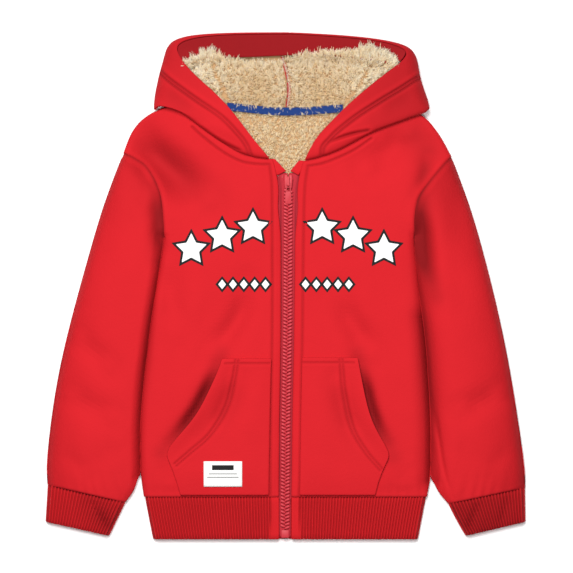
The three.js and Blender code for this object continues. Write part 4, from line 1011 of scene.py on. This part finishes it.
def dress_hood(label, lines, folds):
    piece = copy_solid(f"hood_{label}", f"hood_{label}_cloth")
    refine(piece, None, 0, lowest=10)
    refine(piece, lines, 6, lowest=10)
    push(piece, lambda xy: 0.4 * swell(xy, 18, 1.5 if label == "left" else 3.5), lowest=10)
    for fold in folds:
        push(piece, fold, lowest=13, through=True)
    push(piece, lean_away(*HOOD_FLANK[label]), lowest=10)
    push(piece, groove(lines, 1.5, 1.3), lowest=10)
    meet(piece, HOOD_TOP_SEAM, 3, 0.45)
    # Painted shade along the hem's stitches and in the listed places.
    drape(piece, [lean_away(*HOOD_LOFT[label])], [groove(lines, 1.7, 0.5), *HOOD_PAINTED_SHADE[label]])
    wear(piece, f"hood_{label}", fleece)
    return piece


HOOD_FLANK = {"left": (-124, -164, 1.2), "right": (100, 176, 1.2)}  # from, to and drop
HOOD_LOFT = {"left": (-110, -168, 7), "right": (70, 178, 20)}
# Painted shade: each flap darkens towards its top as it turns from the light, and in the fold by the neck.
HOOD_PAINTED_SHADE = {
    "left": [painted_shade_towards((-120, 200), (-140, 272), 0.35), trough(-150, 238, -106, 206, 12, 0.2)],
    "right": [painted_shade_towards((60, 130), (130, 262), 0.42), trough(112, 208, 158, 226, 12, 0.12)],
}
LEFT_SLIT = [(-101, 189), (-88, 179), (-72, 170), (-56, 163)]
RIGHT_SLIT = [(51, 172), (64, 177), (80, 182), (99, 186)]
hood_left = dress_hood("left", [*left_hem_lines, smooth_line(LEFT_SLIT)], [
    hollow(LEFT_SLIT, 2.4, 2.6), trough(-100, 198, -54, 174, 6, -1.2, 0.06),
    trough(-150, 238, -106, 206, 13, 1.8), trough(-138, 262, -152, 226, 7, -0.9),
])
hood_right = dress_hood("right", [*right_hem_lines, smooth_line(RIGHT_SLIT)], [
    hollow(RIGHT_SLIT, 2.4, 2.4), trough(58, 182, 108, 199, 7, -1.2),
    trough(112, 208, 158, 226, 12, 1.8), trough(150, 256, 162, 226, 7, -0.9),
])


print("hood:", len(hood_left.data.polygons), "and", len(hood_right.data.polygons), "faces")

# %% Hood facing
FACING_MIDDLE = 8  # across
FACING_SEAM = np.array([(12.6, 270), (12.6, 306)])


def dress_facing():
    """The facing is the hem of the same cloth, so its outer rim is drawn out until it meets the hood."""
    piece = copy_solid("hood_facing", "hood_facing_cloth")
    points = points_of(piece)
    points[:, 1] += 1.3 * ramp(points[:, 1], 272, 292)
    from_middle = points[:, 0] - FACING_MIDDLE
    points[:, 0] += 1.6 * np.sign(from_middle) * ramp(np.abs(from_middle), 105, 125)
    put_points(piece, points)
    push(piece, groove([FACING_SEAM], 1.2, 0.8), lowest=5)
    # The facing's fleece carries painted shade in its colour.
    wear(piece, "hood_facing", facing_fleece_painted_shade)
    return piece


facing = dress_facing()
print("facing:", len(facing.data.polygons), "faces")

# %% [markdown]
# Pile is too fine for one smooth skin. The lining's solid is as high as the pile stands, so its copy
# is pressed down to the backing, and thousands of small tapered locks stand on it. Locks grow in
# clumps: their roots are spread, and their tips lean together, which gives the curly look.

# %% Backing cloth of the lining
BACK_PILE_ROOT, HOOD_PILE_ROOT = 0.42, 0.5  # height of the backing, as a share of the full thickness
UNDER_TAPE = 4  # how far the neck's backing runs on up, under the tape
PAST_TAPE = 10  # how far the hood's backing runs on down, past both ends of the tape


def dress_lining(solid, name):
    piece = copy_solid(solid, name)
    points = points_of(piece)
    low = points[:, 2].min()
    share = BACK_PILE_ROOT if solid == "back_lining" else HOOD_PILE_ROOT
    points[:, 2] = low + (points[:, 2] - low) * share
    if solid == "back_lining":
        points[:, 1] += UNDER_TAPE * ramp(points[:, 1], 190, 202)
    else:
        points[:, 1] -= PAST_TAPE * ramp(abs(points[:, 0]), 58, 66) * ramp(points[:, 1], 228, 221)
    put_points(piece, points)
    wear(piece, solid, backing_and_painted_shade)
    return piece


neck_lining = dress_lining("back_lining", "back_lining_backing")
hood_lining_left = dress_lining("hood_lining_left", "hood_lining_left_backing")
hood_lining_right = dress_lining("hood_lining_right", "hood_lining_right_backing")
print("neck lining:", len(neck_lining.data.polygons), "faces")

# %% [markdown]
# A lock is a few hairs that cling together. Blender's hair would draw each one, but it isn't a mesh
# and the pile has to be one. A lock is therefore a triangle drawn up in three steps, a little wider at
# first and then narrower to a blunt tip, and its few faces can be copied by the thousand.

# %% One lock of pile
LOCK_STEPS = ((0.3, 1.1), (0.35, 0.85), (0.35, 0.4))  # height, and change in width, of each step
bpy.ops.mesh.primitive_circle_add(vertices=3, radius=1, fill_type="NGON", location=(0, 0, 0))
lock = bpy.context.active_object
bpy.ops.object.mode_set(mode="EDIT")
for height, shrink in LOCK_STEPS:
    bpy.ops.mesh.extrude_region_move(TRANSFORM_OT_translate={"value": (0, 0, height)})
    bpy.ops.transform.resize(value=(shrink, shrink, 1))
bpy.ops.mesh.select_all(action="SELECT")
bpy.ops.mesh.normals_make_consistent(inside=False)
bpy.ops.object.mode_set(mode="OBJECT")
lock_points = points_of(lock) * MM
lock_faces = [list(p.vertices) for p in lock.data.polygons]
bpy.data.objects.remove(lock)
print("lock:", len(lock_points), "points", len(lock_faces), "faces")

# %% Lines that bound the pile
HOOD_LEFT_OPENING = [
    (-19, 153), (-41, 179), (-59, 204), (-81, 229), (-106, 250), (-123, 268.5), (-127, 280),
]
HOOD_RIGHT_OPENING = [
    (23, 151), (37, 179), (53, 195), (73, 216), (101, 240), (124, 258), (140, 269), (142, 276),
]
LEFT_PILE_TOP = [
    (-132, 266), (-120, 270), (-108, 276), (-96, 286), (-83, 281), (-74, 275), (-46, 272), (-4, 273),
]
RIGHT_PILE_TOP = [(-4, 274), (23, 280), (60, 285), (107, 287), (124, 278), (140, 266)]
CENTRE_SEAM = [(-5.4, 276), (0.6, 253), (3, 236), (0.6, 216)]
TAPE_LINE = [(-80, 217), (-52, 214.5), (-26, 211.5), (2, 209.8), (30, 211), (54, 213), (80, 215)]


def line_y(line, x):
    """Height of a line, drawn from left to right, at a place across."""
    line = np.asarray(line)
    return np.interp(x, line[:, 0], line[:, 1])


print("foot of the pile at the middle:", line_y(TAPE_LINE, 0))

# %% [markdown]
# The curly look of pile comes from its clumps. Locks set out one by one would look like a brush, so
# the places are those of clumps, on a honeycomb that is shaken a little. Each clump has its own lean,
# length and shade, its roots are spread, and its tips lean together. Every random number has a seed,
# so the pile is the same each time.

# %% Growing clumps of locks
CLUMP_LEAN, LOCK_LEAN = 0.28, 0.14  # how much the lean differs between clumps, and within one
SHORTEST, LONGEST = 0.8, 1.15  # as shares of the usual length
THINNEST, THICKEST = 0.75, 1.3
ROOT_DEPTH = 0.6  # how deep a root stands in the backing
BEND = 1.6  # power of the height by which a lock leans: above 1, it bends more towards its tip


def grow_pile(name, spots, ground, lean_at, length_at, tan_at, material, seed, locks, spread, radius):
    """Grows a clump of locks at each spot. ground gives a root's height, lean_at the way it lies, and
    tan_at how much of the tan it has kept."""
    random = np.random.default_rng(seed)
    points, faces, tips, shades = [], [], [], []
    count = 0
    heights = lock_points[:, 2]
    for x, y in spots:
        clump_lean = np.array(lean_at(x, y)) + random.normal(0, CLUMP_LEAN, 2)
        clump_shade = random.uniform(0, 0.6) + tan_at(x, y)
        clump_length = length_at(x, y) * random.uniform(SHORTEST, LONGEST)
        for _ in range(locks):
            offset = random.normal(0, spread * 0.55, 2)
            found = ground(x + offset[0], y + offset[1])
            if found is None:
                continue
            root = np.array(found[0]) / MM
            lean = clump_lean - offset / clump_length * 0.5 + random.normal(0, LOCK_LEAN, 2)
            size = clump_length * random.uniform(SHORTEST, LONGEST)
            turn = random.uniform(0, 2 * math.pi)
            wide = radius * random.uniform(THINNEST, THICKEST)
            side = lock_points[:, 0] * wide
            front = lock_points[:, 1] * wide
            shape = np.empty_like(lock_points)
            bend = heights**BEND
            across = root[0] + side * math.cos(turn) - front * math.sin(turn)
            along = root[1] + side * math.sin(turn) + front * math.cos(turn)
            shape[:, 0] = across + lean[0] * size * bend
            shape[:, 1] = along + lean[1] * size * bend
            fall = min(0.75, 0.45 * math.hypot(*lean))
            shape[:, 2] = root[2] - ROOT_DEPTH + heights * size * (1 - fall * heights)
            points.append(shape)
            faces.extend([[index + count for index in face] for face in lock_faces])
            count += len(shape)
            tips.append(heights)
            shade = 0.7 * clump_shade + 0.3 * random.uniform(0, 1)
            shades.append(np.full(len(shape), np.clip(shade, 0, 1)))
    mesh = bpy.data.meshes.new(name)
    mesh.from_pydata((np.vstack(points) * MM).tolist(), [], faces)
    for label, values in (("tip", tips), ("shade", shades)):
        layer = mesh.attributes.new(label, "FLOAT", "POINT")
        layer.data.foreach_set("value", np.concatenate(values).astype(np.float32))
    piece = bpy.data.objects.new(name, mesh)
    bpy.context.scene.collection.objects.link(piece)
    mesh.materials.append(material)
    make_active(piece)
    bpy.ops.object.shade_smooth()
    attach(piece, GARMENT)
    print(name, len(faces), "faces")
    return piece


def spots_in(box, spacing, keep, seed):
    """Places on a shaken honeycomb grid inside a box, where keep(x, y) holds."""
    random = np.random.default_rng(seed)
    x_low, y_low, x_high, y_high = box
    places = []
    for row, y in enumerate(np.arange(y_low, y_high, spacing * 0.866)):
        for x in np.arange(x_low + (row % 2) * spacing / 2, x_high, spacing):
            place = np.array([x, y]) + random.normal(0, spacing * 0.16, 2)
            if keep(*place):
                places.append(place)
    return places


def inside_hood(x, y):
    """True within the face opening, with some margin under its edges."""
    left = np.interp(y, [p[1] for p in HOOD_LEFT_OPENING], [p[0] for p in HOOD_LEFT_OPENING])
    right = np.interp(y, [p[1] for p in HOOD_RIGHT_OPENING], [p[0] for p in HOOD_RIGHT_OPENING])
    return left - 5 < x < right + 5


print("locks stand", ROOT_DEPTH, "mm deep")

# %% How the hood's pile lies
PILE_CREASES = [
    smooth_line([(-94, 288), (-87, 265), (-76, 241), (-69, 221)]),
    smooth_line([(111, 283), (99, 259), (86, 237.5), (69, 216)]),
]


def from_crease(x, y):
    """The step away from the nearest crease, and its length."""
    steps = [step_to(line, np.array([[x, y]]))[0] for line in PILE_CREASES]
    step = -min(steps, key=lambda v: math.hypot(*v))
    return step, math.hypot(*step)


def hood_lean(x, y):
    """Locks stand up along the facing, hang over the tape, and part at the seam and at each crease."""
    up = ramp(y, 252, 272)
    down = ramp(y, 228, 218)
    side = ramp(abs(x - 2), 70, 100) * np.sign(x - 2)
    step, away = from_crease(x, y)
    part = 0.6 * ramp(y, 270, 258) * max(0, 1 - away / 8) * step / max(away, 0.1)
    return (0.3 * side + 0.15 * math.sin(y / 7.0 + x / 13.0) + part[0],
            0.1 + 0.6 * up - 0.6 * down + 0.15 * abs(side) + part[1])


def hood_length(x, y):
    return 6.5 + 0.8 * ramp(y, 255, 270) + 1.0 * ramp(abs(x - 4), 60, 90)


def hood_tan(x, y):
    """The middle and the foot of the hood are more tan than its long, pale sides."""
    middle = np.clip(1 - abs(abs(x - 2) - 40) / 45, 0, 1)
    side = ramp(abs(x - 2), 75, 100)
    return 0.7 * middle * ramp(y, 272, 247) + 0.2 * ramp(y, 235, 215) - 0.4 * side


print("length at the middle of the hood:", hood_length(0, 250))

# %% Where the pile grows
TAPE_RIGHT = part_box("neck_tape")[1][0] / MM + 1.0  # past the tape's end the pile runs on down
ABOVE_TAPE, PAST_TAPE_END, BELOW_TAPE = 4.8, -3.0, 4.6  # from the tape's line to the first locks


def near_seam(x, y):
    seam_x = np.interp(y, [p[1] for p in reversed(CENTRE_SEAM)], [p[0] for p in reversed(CENTRE_SEAM)])
    return -2.0 < x - seam_x < 4.5


def keep_hood(x, y):
    top = line_y(LEFT_PILE_TOP, x) if x < -4 else line_y(RIGHT_PILE_TOP, x)
    foot = line_y(TAPE_LINE, x) + (ABOVE_TAPE if x < TAPE_RIGHT else PAST_TAPE_END)
    in_band = foot < y < top - 4
    parted = y < 264 and from_crease(x, y)[1] < 1.2
    return in_band and inside_hood(x, y) and not near_seam(x, y) and not parted


def neck_lean(x, y):
    up = ramp(y, 196, 206)
    return (0.1 * math.sin(x / 9.0), 0.6 * up - 0.35 * (1 - up))


def keep_neck(x, y):
    left = np.interp(y, [131, 153, 179, 204, 229], [2, -19, -41, -59, -81])
    right = np.interp(y, [131, 151, 179, 195, 216], [4, 23, 37, 53, 73])
    return left - 7 < x < right + 7 and y < line_y(TAPE_LINE, x) - BELOW_TAPE


print("end of the tape:", round(TAPE_RIGHT, 1))

# %% What the pile stands on
NEAR_TAPE = 7  # roots nearer to the tape's line than this are raised
TAPE_SINK = 2.8  # below the top of the tape
on_lining = surface_of(hood_lining_left, hood_lining_right, facing)
on_neck = surface_of(neck_lining)
TAPE_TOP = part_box("neck_tape")[1][2]
print("tape top:", round(TAPE_TOP / MM, 1))


def hood_ground(x, y):
    """The pile's roots. They rise towards the facing and the tape, so that tips cover both edges."""
    found = on_lining(x, y)
    if found is None:
        return None
    height = found[0].z
    for further in range(1, 9):
        above = on_lining(x, y + further)
        if above:
            height = max(height, above[0].z - 0.8 * further * MM)
    if y - line_y(TAPE_LINE, x) < NEAR_TAPE:
        height = max(height, TAPE_TOP - TAPE_SINK * MM)
    return Vector((found[0].x, found[0].y, height)), found[1]


def neck_ground(x, y):
    found = on_neck(x, y)
    if found is None or line_y(TAPE_LINE, x) - y > NEAR_TAPE:
        return found
    return Vector((found[0].x, found[0].y, max(found[0].z, TAPE_TOP - TAPE_SINK * MM))), found[1]


def keep_fringe(x, y):
    top = line_y(LEFT_PILE_TOP, x) if x < -4 else line_y(RIGHT_PILE_TOP, x)
    return keep_hood(x, y) and y > top - 9


print("roots near the tape are raised to", round(TAPE_TOP / MM - TAPE_SINK, 1))

# %% The pile
HOOD_BOX, NECK_BOX = (-134, 210, 148, 290), (-78, 128, 80, 214)  # left, foot, right, top
HOOD_MIDDLE = 2
hood_spots = spots_in(HOOD_BOX, 3.6, keep_hood, 11)
hood_spots += spots_in(HOOD_BOX, 4.4, keep_fringe, 13)
left_spots = [s for s in hood_spots if s[0] < HOOD_MIDDLE]
right_spots = [s for s in hood_spots if s[0] >= HOOD_MIDDLE]
neck_spots = spots_in(NECK_BOX, 3.7, keep_neck, 12)
HOOD_LOCKS = {"locks": 13, "spread": 2.9, "radius": 0.38}
NECK_LOCKS = {"locks": 11, "spread": 2.4, "radius": 0.32}
hood_way = (hood_ground, hood_lean, hood_length, hood_tan, hood_pile)
grow_pile("pile_hood_left", left_spots, *hood_way, 21, **HOOD_LOCKS)
grow_pile("pile_hood_right", right_spots, *hood_way, 22, **HOOD_LOCKS)
neck_way = (neck_ground, neck_lean, lambda x, y: 5.0, lambda x, y: 0.2, neck_pile)
grow_pile("pile_neck", neck_spots, *neck_way, 23, **NECK_LOCKS)

# %% [markdown]
# Stitches are small rounded dashes. One is modelled, and copies are laid end to end along each line,
# each turned to follow the line and the slope of the cloth under it.

# %% One stitch
bpy.ops.mesh.primitive_uv_sphere_add(
    segments=6, ring_count=4, radius=0.5, location=(0, 0, 0), rotation=(0, math.pi / 2, 0),
)
stitch = bpy.context.active_object
bpy.ops.object.transform_apply(location=False, rotation=True, scale=False)
stitch_points = points_of(stitch) * MM
stitch_faces = [list(p.vertices) for p in stitch.data.polygons]
bpy.data.objects.remove(stitch)
print("stitch:", len(stitch_faces), "faces")


# %% Copies of one shape, and rows of stitches
def join_copies(name, shape_points, shape_faces, places):
    """One mesh of copies. A place is (centre, three axes as rows, size along each)."""
    points, faces = [], []
    for index, (centre, axes_rows, sizes) in enumerate(places):
        points.append(np.asarray(centre) + (shape_points * np.asarray(sizes)) @ np.asarray(axes_rows))
        faces.extend([[v + index * len(shape_points) for v in face] for face in shape_faces])
    mesh = bpy.data.meshes.new(name)
    mesh.from_pydata((np.vstack(points) * MM).tolist(), [], faces)
    piece = bpy.data.objects.new(name, mesh)
    bpy.context.scene.collection.objects.link(piece)
    make_active(piece)
    bpy.ops.object.shade_smooth()
    return piece


def axes_along(direction, normal):
    ahead = np.asarray(direction, float) / np.linalg.norm(direction)
    normal = np.asarray(normal, float)
    side = np.cross(normal, ahead)
    side /= np.linalg.norm(side)
    return np.array([ahead, side, np.cross(ahead, side)])


STITCH_LIFT = 0.08  # above the cloth


def sew(name, lines, ground, material, pitch=3.2, size=(2.5, 0.55, 0.4), slant=0.0):
    places = []
    for line in lines:
        fine = smooth_line(line, pitch)
        for a, b in zip(fine[:-1], fine[1:]):
            middle = (a + b) / 2
            found = ground(*middle)
            if found is None:
                continue
            hit, normal = found
            turned = (b - a) + slant * np.array([-(b - a)[1], (b - a)[0]])
            rise = -(normal.x * turned[0] + normal.y * turned[1]) / max(normal.z, 0.2)
            axes_rows = axes_along((turned[0], turned[1], rise), normal)
            places.append((np.array(hit) / MM + np.array([0, 0, STITCH_LIFT]), axes_rows, size))
    piece = join_copies(name, stitch_points, stitch_faces, places)
    piece.data.materials.append(material)
    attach(piece, GARMENT)
    print(name, len(places), "stitches")
    return piece


on_left = surface_of(front_left, pocket_left, hood_left)
on_right = surface_of(front_right, pocket_right, hood_right)
sew("stitches_front_left", [left_placket, left_neck], on_left, thread)
sew("stitches_front_right", [right_placket, right_neck], on_right, thread)
sew("stitches_pocket_left", left_pocket_lines, on_left, thread)
sew("stitches_pocket_right", right_pocket_lines, on_right, thread)
sew("stitches_hood_left", left_hem_lines, on_left, thread)
sew("stitches_hood_right", right_hem_lines, on_right, thread)

# %% [markdown]
# The hood's centre seam shows inside as a thin red edge with an overlock beside it: short pale and
# red threads that cross the seam like a ladder.

# %% Centre seam of the lining
seam_line = smooth_line(CENTRE_SEAM, 2.0)
lining_solids = [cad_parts["hood_lining_left"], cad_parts["hood_lining_right"]]
pile_ground = surface_of(hood_lining_left, hood_lining_right, *lining_solids)
sew("seam_edge", [seam_line], pile_ground, thread, pitch=2.2, size=(3.4, 1.5, 1.6))
sew("overlock_pale", [beside(seam_line, 1.9)], pile_ground, pale_thread,
    pitch=1.9, size=(3.6, 0.7, 0.8), slant=1.6)
sew("overlock_red", [beside(seam_line, 2.6)], pile_ground, thread,
    pitch=3.8, size=(3.0, 0.7, 0.9), slant=-1.4)

# %% [markdown]
# The neck tape covers the raw edges where the hood joins the back. A flat band would look like
# plastic, so it waves a little, and its twill runs aslant.

# %% Neck tape
tape = copy_solid("neck_tape", "neck_tape_twill")
push(tape, lambda xy: 0.35 * swell(xy, 6, 2.0), lowest=5)
wear(tape, "neck_tape", blue_tape)
print("tape:", len(tape.data.polygons), "faces")

# %% [markdown]
# A moulded zip has thick resin teeth that close in a zigzag on a woven tape. One tooth is a small
# bevelled block that narrows towards its head, and the two rows are set half a step apart.

# %% Zip tapes
ZIP_EDGE = {"left": np.array(LEFT_EDGE), "right": np.array(RIGHT_EDGE)}
for label in ("left", "right"):
    strip = copy_solid(f"zip_tape_{label}", f"zip_tape_{label}_weave", levels=1)
    refine(strip, None, 0, lowest=0)
    # Painted shade: each tape is darker beside the placket edge that overhangs it.
    drape(strip, [], [fall_away(ZIP_EDGE[label], 3.5, 0.8)], lowest=0)
    wear(strip, f"zip_tape_{label}", zip_weave)
    print(strip.name, len(strip.data.polygons), "faces")

# %% One tooth
chain = points_of(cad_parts["zip_chain"])
CHAIN_LOW, CHAIN_HIGH = chain[:, 1].min(), chain[:, 1].max()
CHAIN_FOOT, CHAIN_TOP = chain[:, 2].min(), chain[:, 2].max()
levels_y = np.unique(np.round(chain[:, 1], 1))
centres_x = [chain[np.abs(chain[:, 1] - y) < 0.2, 0].mean() for y in levels_y]
TOOTH_PITCH = 4.2
TOOTH_LONG, TOOTH_WIDE = 6.6, 3.1
TOOTH_OFFSET = 2.3  # from the middle of the chain to that of a tooth
TOOTH_LEAN = -0.4

bpy.ops.mesh.primitive_cube_add(size=1, location=(0, 0, 0))
tooth = bpy.context.active_object
bpy.ops.object.mode_set(mode="EDIT")
bpy.ops.mesh.select_all(action="DESELECT")
bpy.ops.object.mode_set(mode="OBJECT")
for face in tooth.data.polygons:
    face.select = face.normal.x > 0.9
bpy.ops.object.mode_set(mode="EDIT")
bpy.ops.mesh.select_mode(type="FACE")
bpy.ops.transform.resize(value=(1, 0.62, 0.75))
bpy.ops.mesh.select_all(action="SELECT")
bpy.ops.mesh.bevel(offset=0.16, segments=1)
bpy.ops.object.mode_set(mode="OBJECT")
tooth_points = points_of(tooth) * MM
tooth_faces = [list(p.vertices) for p in tooth.data.polygons]
bpy.data.objects.remove(tooth)
print("tooth:", len(tooth_faces), "faces")

# %% Both rows of teeth
CHAIN_END = 2  # bare chain below the first tooth
tooth_size = (TOOTH_LONG, TOOTH_WIDE, CHAIN_TOP - CHAIN_FOOT + 0.4)
SLIDER_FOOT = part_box("zip_slider")[0][1] / MM
tooth_places = []
for step in range(int((min(CHAIN_HIGH, SLIDER_FOOT + 3) - CHAIN_LOW - CHAIN_END) / TOOTH_PITCH * 2)):
    y = CHAIN_LOW + CHAIN_END + step * TOOTH_PITCH / 2
    side = -1 if step % 2 else 1
    x = np.interp(y, levels_y, centres_x) + side * TOOTH_OFFSET
    axes_rows = axes_along((-side, TOOTH_LEAN, 0), (0, 0, 1))
    tooth_places.append(((x, y, (CHAIN_FOOT + CHAIN_TOP) / 2 + 0.1), axes_rows, tooth_size))
teeth = join_copies("zip_teeth", tooth_points, tooth_faces, tooth_places)
teeth.data.materials.append(resin)
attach(teeth, GARMENT)
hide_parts("zip_chain")
print("teeth:", len(tooth_places))

# %% [markdown]
# Slider, bridge, pull and box come out of a mould, so none of them has a sharp edge. They could be
# modelled again. Their solids have the right shape, so a bevel that is limited by angle only rounds
# the edges.


# %% Slider, bridge, box and pull
def mould(solid, body, bevel, segments=2):
    """A moulded piece: its solid with every sharp edge rounded off."""
    piece = copy_solid(solid, f"{solid}_moulded", levels=0)
    softener = piece.modifiers.new("softener", "BEVEL")
    softener.width = bevel * MM
    softener.segments = segments
    softener.limit_method = "ANGLE"
    softener.angle_limit = math.radians(30)
    softener.use_clamp_overlap = True
    bpy.ops.object.modifier_apply(modifier="softener")
    bpy.ops.object.shade_smooth_by_angle(angle=math.radians(40))
    piece.data.materials.append(resin)
    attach(piece, body)
    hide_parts(solid)
    return piece


mould("zip_slider", GARMENT, 0.9)
mould("zip_bridge", GARMENT, 0.35)
mould("zip_box", GARMENT, 0.6)
pull = mould("zip_pull", "pull_tab", 0.28)
print("pull:", len(pull.data.polygons), "faces")

# %% Folded ends of the tapes
for label in ("left", "right"):
    end = copy_solid(f"tape_end_{label}", f"tape_end_{label}_fold", crease=0.5)
    corners = points_of(end)
    inner_x = corners[:, 0].max() if label == "left" else corners[:, 0].min()
    corners[:, 0] = inner_x + 1.35 * (corners[:, 0] - inner_x)
    put_points(end, corners)
    wear(end, f"tape_end_{label}", fleece)
    print(end.name, len(end.data.polygons), "faces")

# %% [markdown]
# Printing is a thin film of ink. A star starts as a ring of ten points, every other one drawn in;
# its corners are rounded, the face is poked and subdivided, and each point then drops onto the
# cloth. The outline is the same star, larger, in black, just under the white one.


# %% Film and flat faces
def lay_film(piece, ground, lift, material):
    points = points_of(piece)
    for point in points:
        found = ground(point[0], point[1])
        point[2] = (found[0].z / MM if found else 15) + lift
    put_points(piece, points)
    piece.data.materials.append(material)
    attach(piece, GARMENT)


def flat_face(name, corners, round_mm):
    """A flat, finely divided face with the given corners rounded off."""
    bpy.ops.mesh.primitive_circle_add(
        vertices=len(corners), radius=1, fill_type="NOTHING", location=(0, 0, 0),
    )
    piece = bpy.context.active_object
    piece.name = piece.data.name = name
    put_points(piece, np.column_stack([corners, np.zeros(len(corners))]))
    bpy.ops.object.mode_set(mode="EDIT")
    bpy.ops.mesh.select_all(action="SELECT")
    bpy.ops.mesh.bevel(offset=round_mm * MM, segments=3, affect="VERTICES")
    bpy.ops.mesh.select_all(action="SELECT")
    bpy.ops.mesh.edge_face_add()
    bpy.ops.mesh.poke()
    bpy.ops.mesh.subdivide(number_cuts=4)
    bpy.ops.object.mode_set(mode="OBJECT")
    return piece


def star_corners(x, y, radius, grow=0.0):
    """grow widens the star evenly, as an outline does."""
    corners = []
    for i in range(10):
        angle = math.pi / 2 + i * math.pi / 5
        reach = radius + grow * 2.1 if i % 2 == 0 else radius * 0.5 + grow * 1.2
        corners.append((x + reach * math.cos(angle), y + reach * math.sin(angle)))
    return corners


def diamond_corners(x, y, half_wide, half_high, grow):
    w, h = half_wide + 1.3 * grow, half_high + 1.5 * grow
    return [(x - w, y), (x, y - h), (x + w, y), (x, y + h)]


def bar_corners(x, y, wide, high):
    w, h = wide / 2, high / 2
    return [(x - w, y - h), (x + w, y - h), (x + w, y + h), (x - w, y + h)]


print("corners of a star:", len(star_corners(0, 0, 10)))

# %% Printed stars and diamonds
STAR_RADIUS = 19.5
STARS = {"left": ((-113, 44), (-76, 60), (-39, 70)), "right": ((44, 70), (81, 60), (118, 44))}
DIAMOND_Y = 2
DIAMONDS = {"left": (-76, -63, -50, -37, -24), "right": (24, 37, 50, 63, 76)}
DIAMOND_WIDE, DIAMOND_HIGH = 4.6, 5.8  # half its width and height
OUTLINE = 2.7
INKS = (("black", OUTLINE, 0.18, ink_black), ("white", 0.0, 0.36, ink_white))  # name, growth, height, ink


def join_all(pieces, name):
    bpy.ops.object.select_all(action="DESELECT")
    for piece in pieces:
        piece.select_set(True)
    bpy.context.view_layer.objects.active = pieces[0]
    bpy.ops.object.join()
    pieces[0].name = pieces[0].data.name = name
    return pieces[0]


for label, ground in (("left", on_left), ("right", on_right)):
    for ink, grow, lift, material in INKS:
        faces = [flat_face("star", star_corners(x, y, STAR_RADIUS, grow), 1.0) for x, y in STARS[label]]
        for x in DIAMONDS[label]:
            corners = diamond_corners(x, DIAMOND_Y, DIAMOND_WIDE, DIAMOND_HIGH, grow)
            faces.append(flat_face("diamond", corners, 0.4))
        print_film = join_all(faces, f"print_{label}_{ink}")
        lay_film(print_film, ground, lift, material)
        print(print_film.name, len(print_film.data.polygons), "faces")

# %% [markdown]
# The label is a woven satin patch sewn flat on the pocket. Its marks are a plain bar and two thin
# lines, made and laid as the printed stars are.

# %% Label patch
LABEL_X = -75
label_patch = copy_solid("label_patch", "label_patch_satin", crease=1.0)
wear(label_patch, "label_patch", label_satin)
on_label = surface_of(label_patch)
marks = [flat_face("mark", bar_corners(LABEL_X, -217.5, 26, 6), 0.4)]
for y, wide in ((-225, 34), (-229, 38)):
    marks.append(flat_face("mark", bar_corners(LABEL_X, y, wide, 0.9), 0.2))
label_marks = join_all(marks, "label_marks")
lay_film(label_marks, on_label, 0.12, ink_black)
print(label_marks.name, len(label_marks.data.polygons), "faces")

# %% [markdown]
# Last, the faces of every shown piece are counted.

# %% Finish
shown = [o for o in bpy.data.objects if o.type == "MESH" and not o.hide_render]
faces_in = {o.name: len(o.data.polygons) for o in shown}
print("faces in all:", sum(faces_in.values()), "most:", max(faces_in, key=faces_in.get))
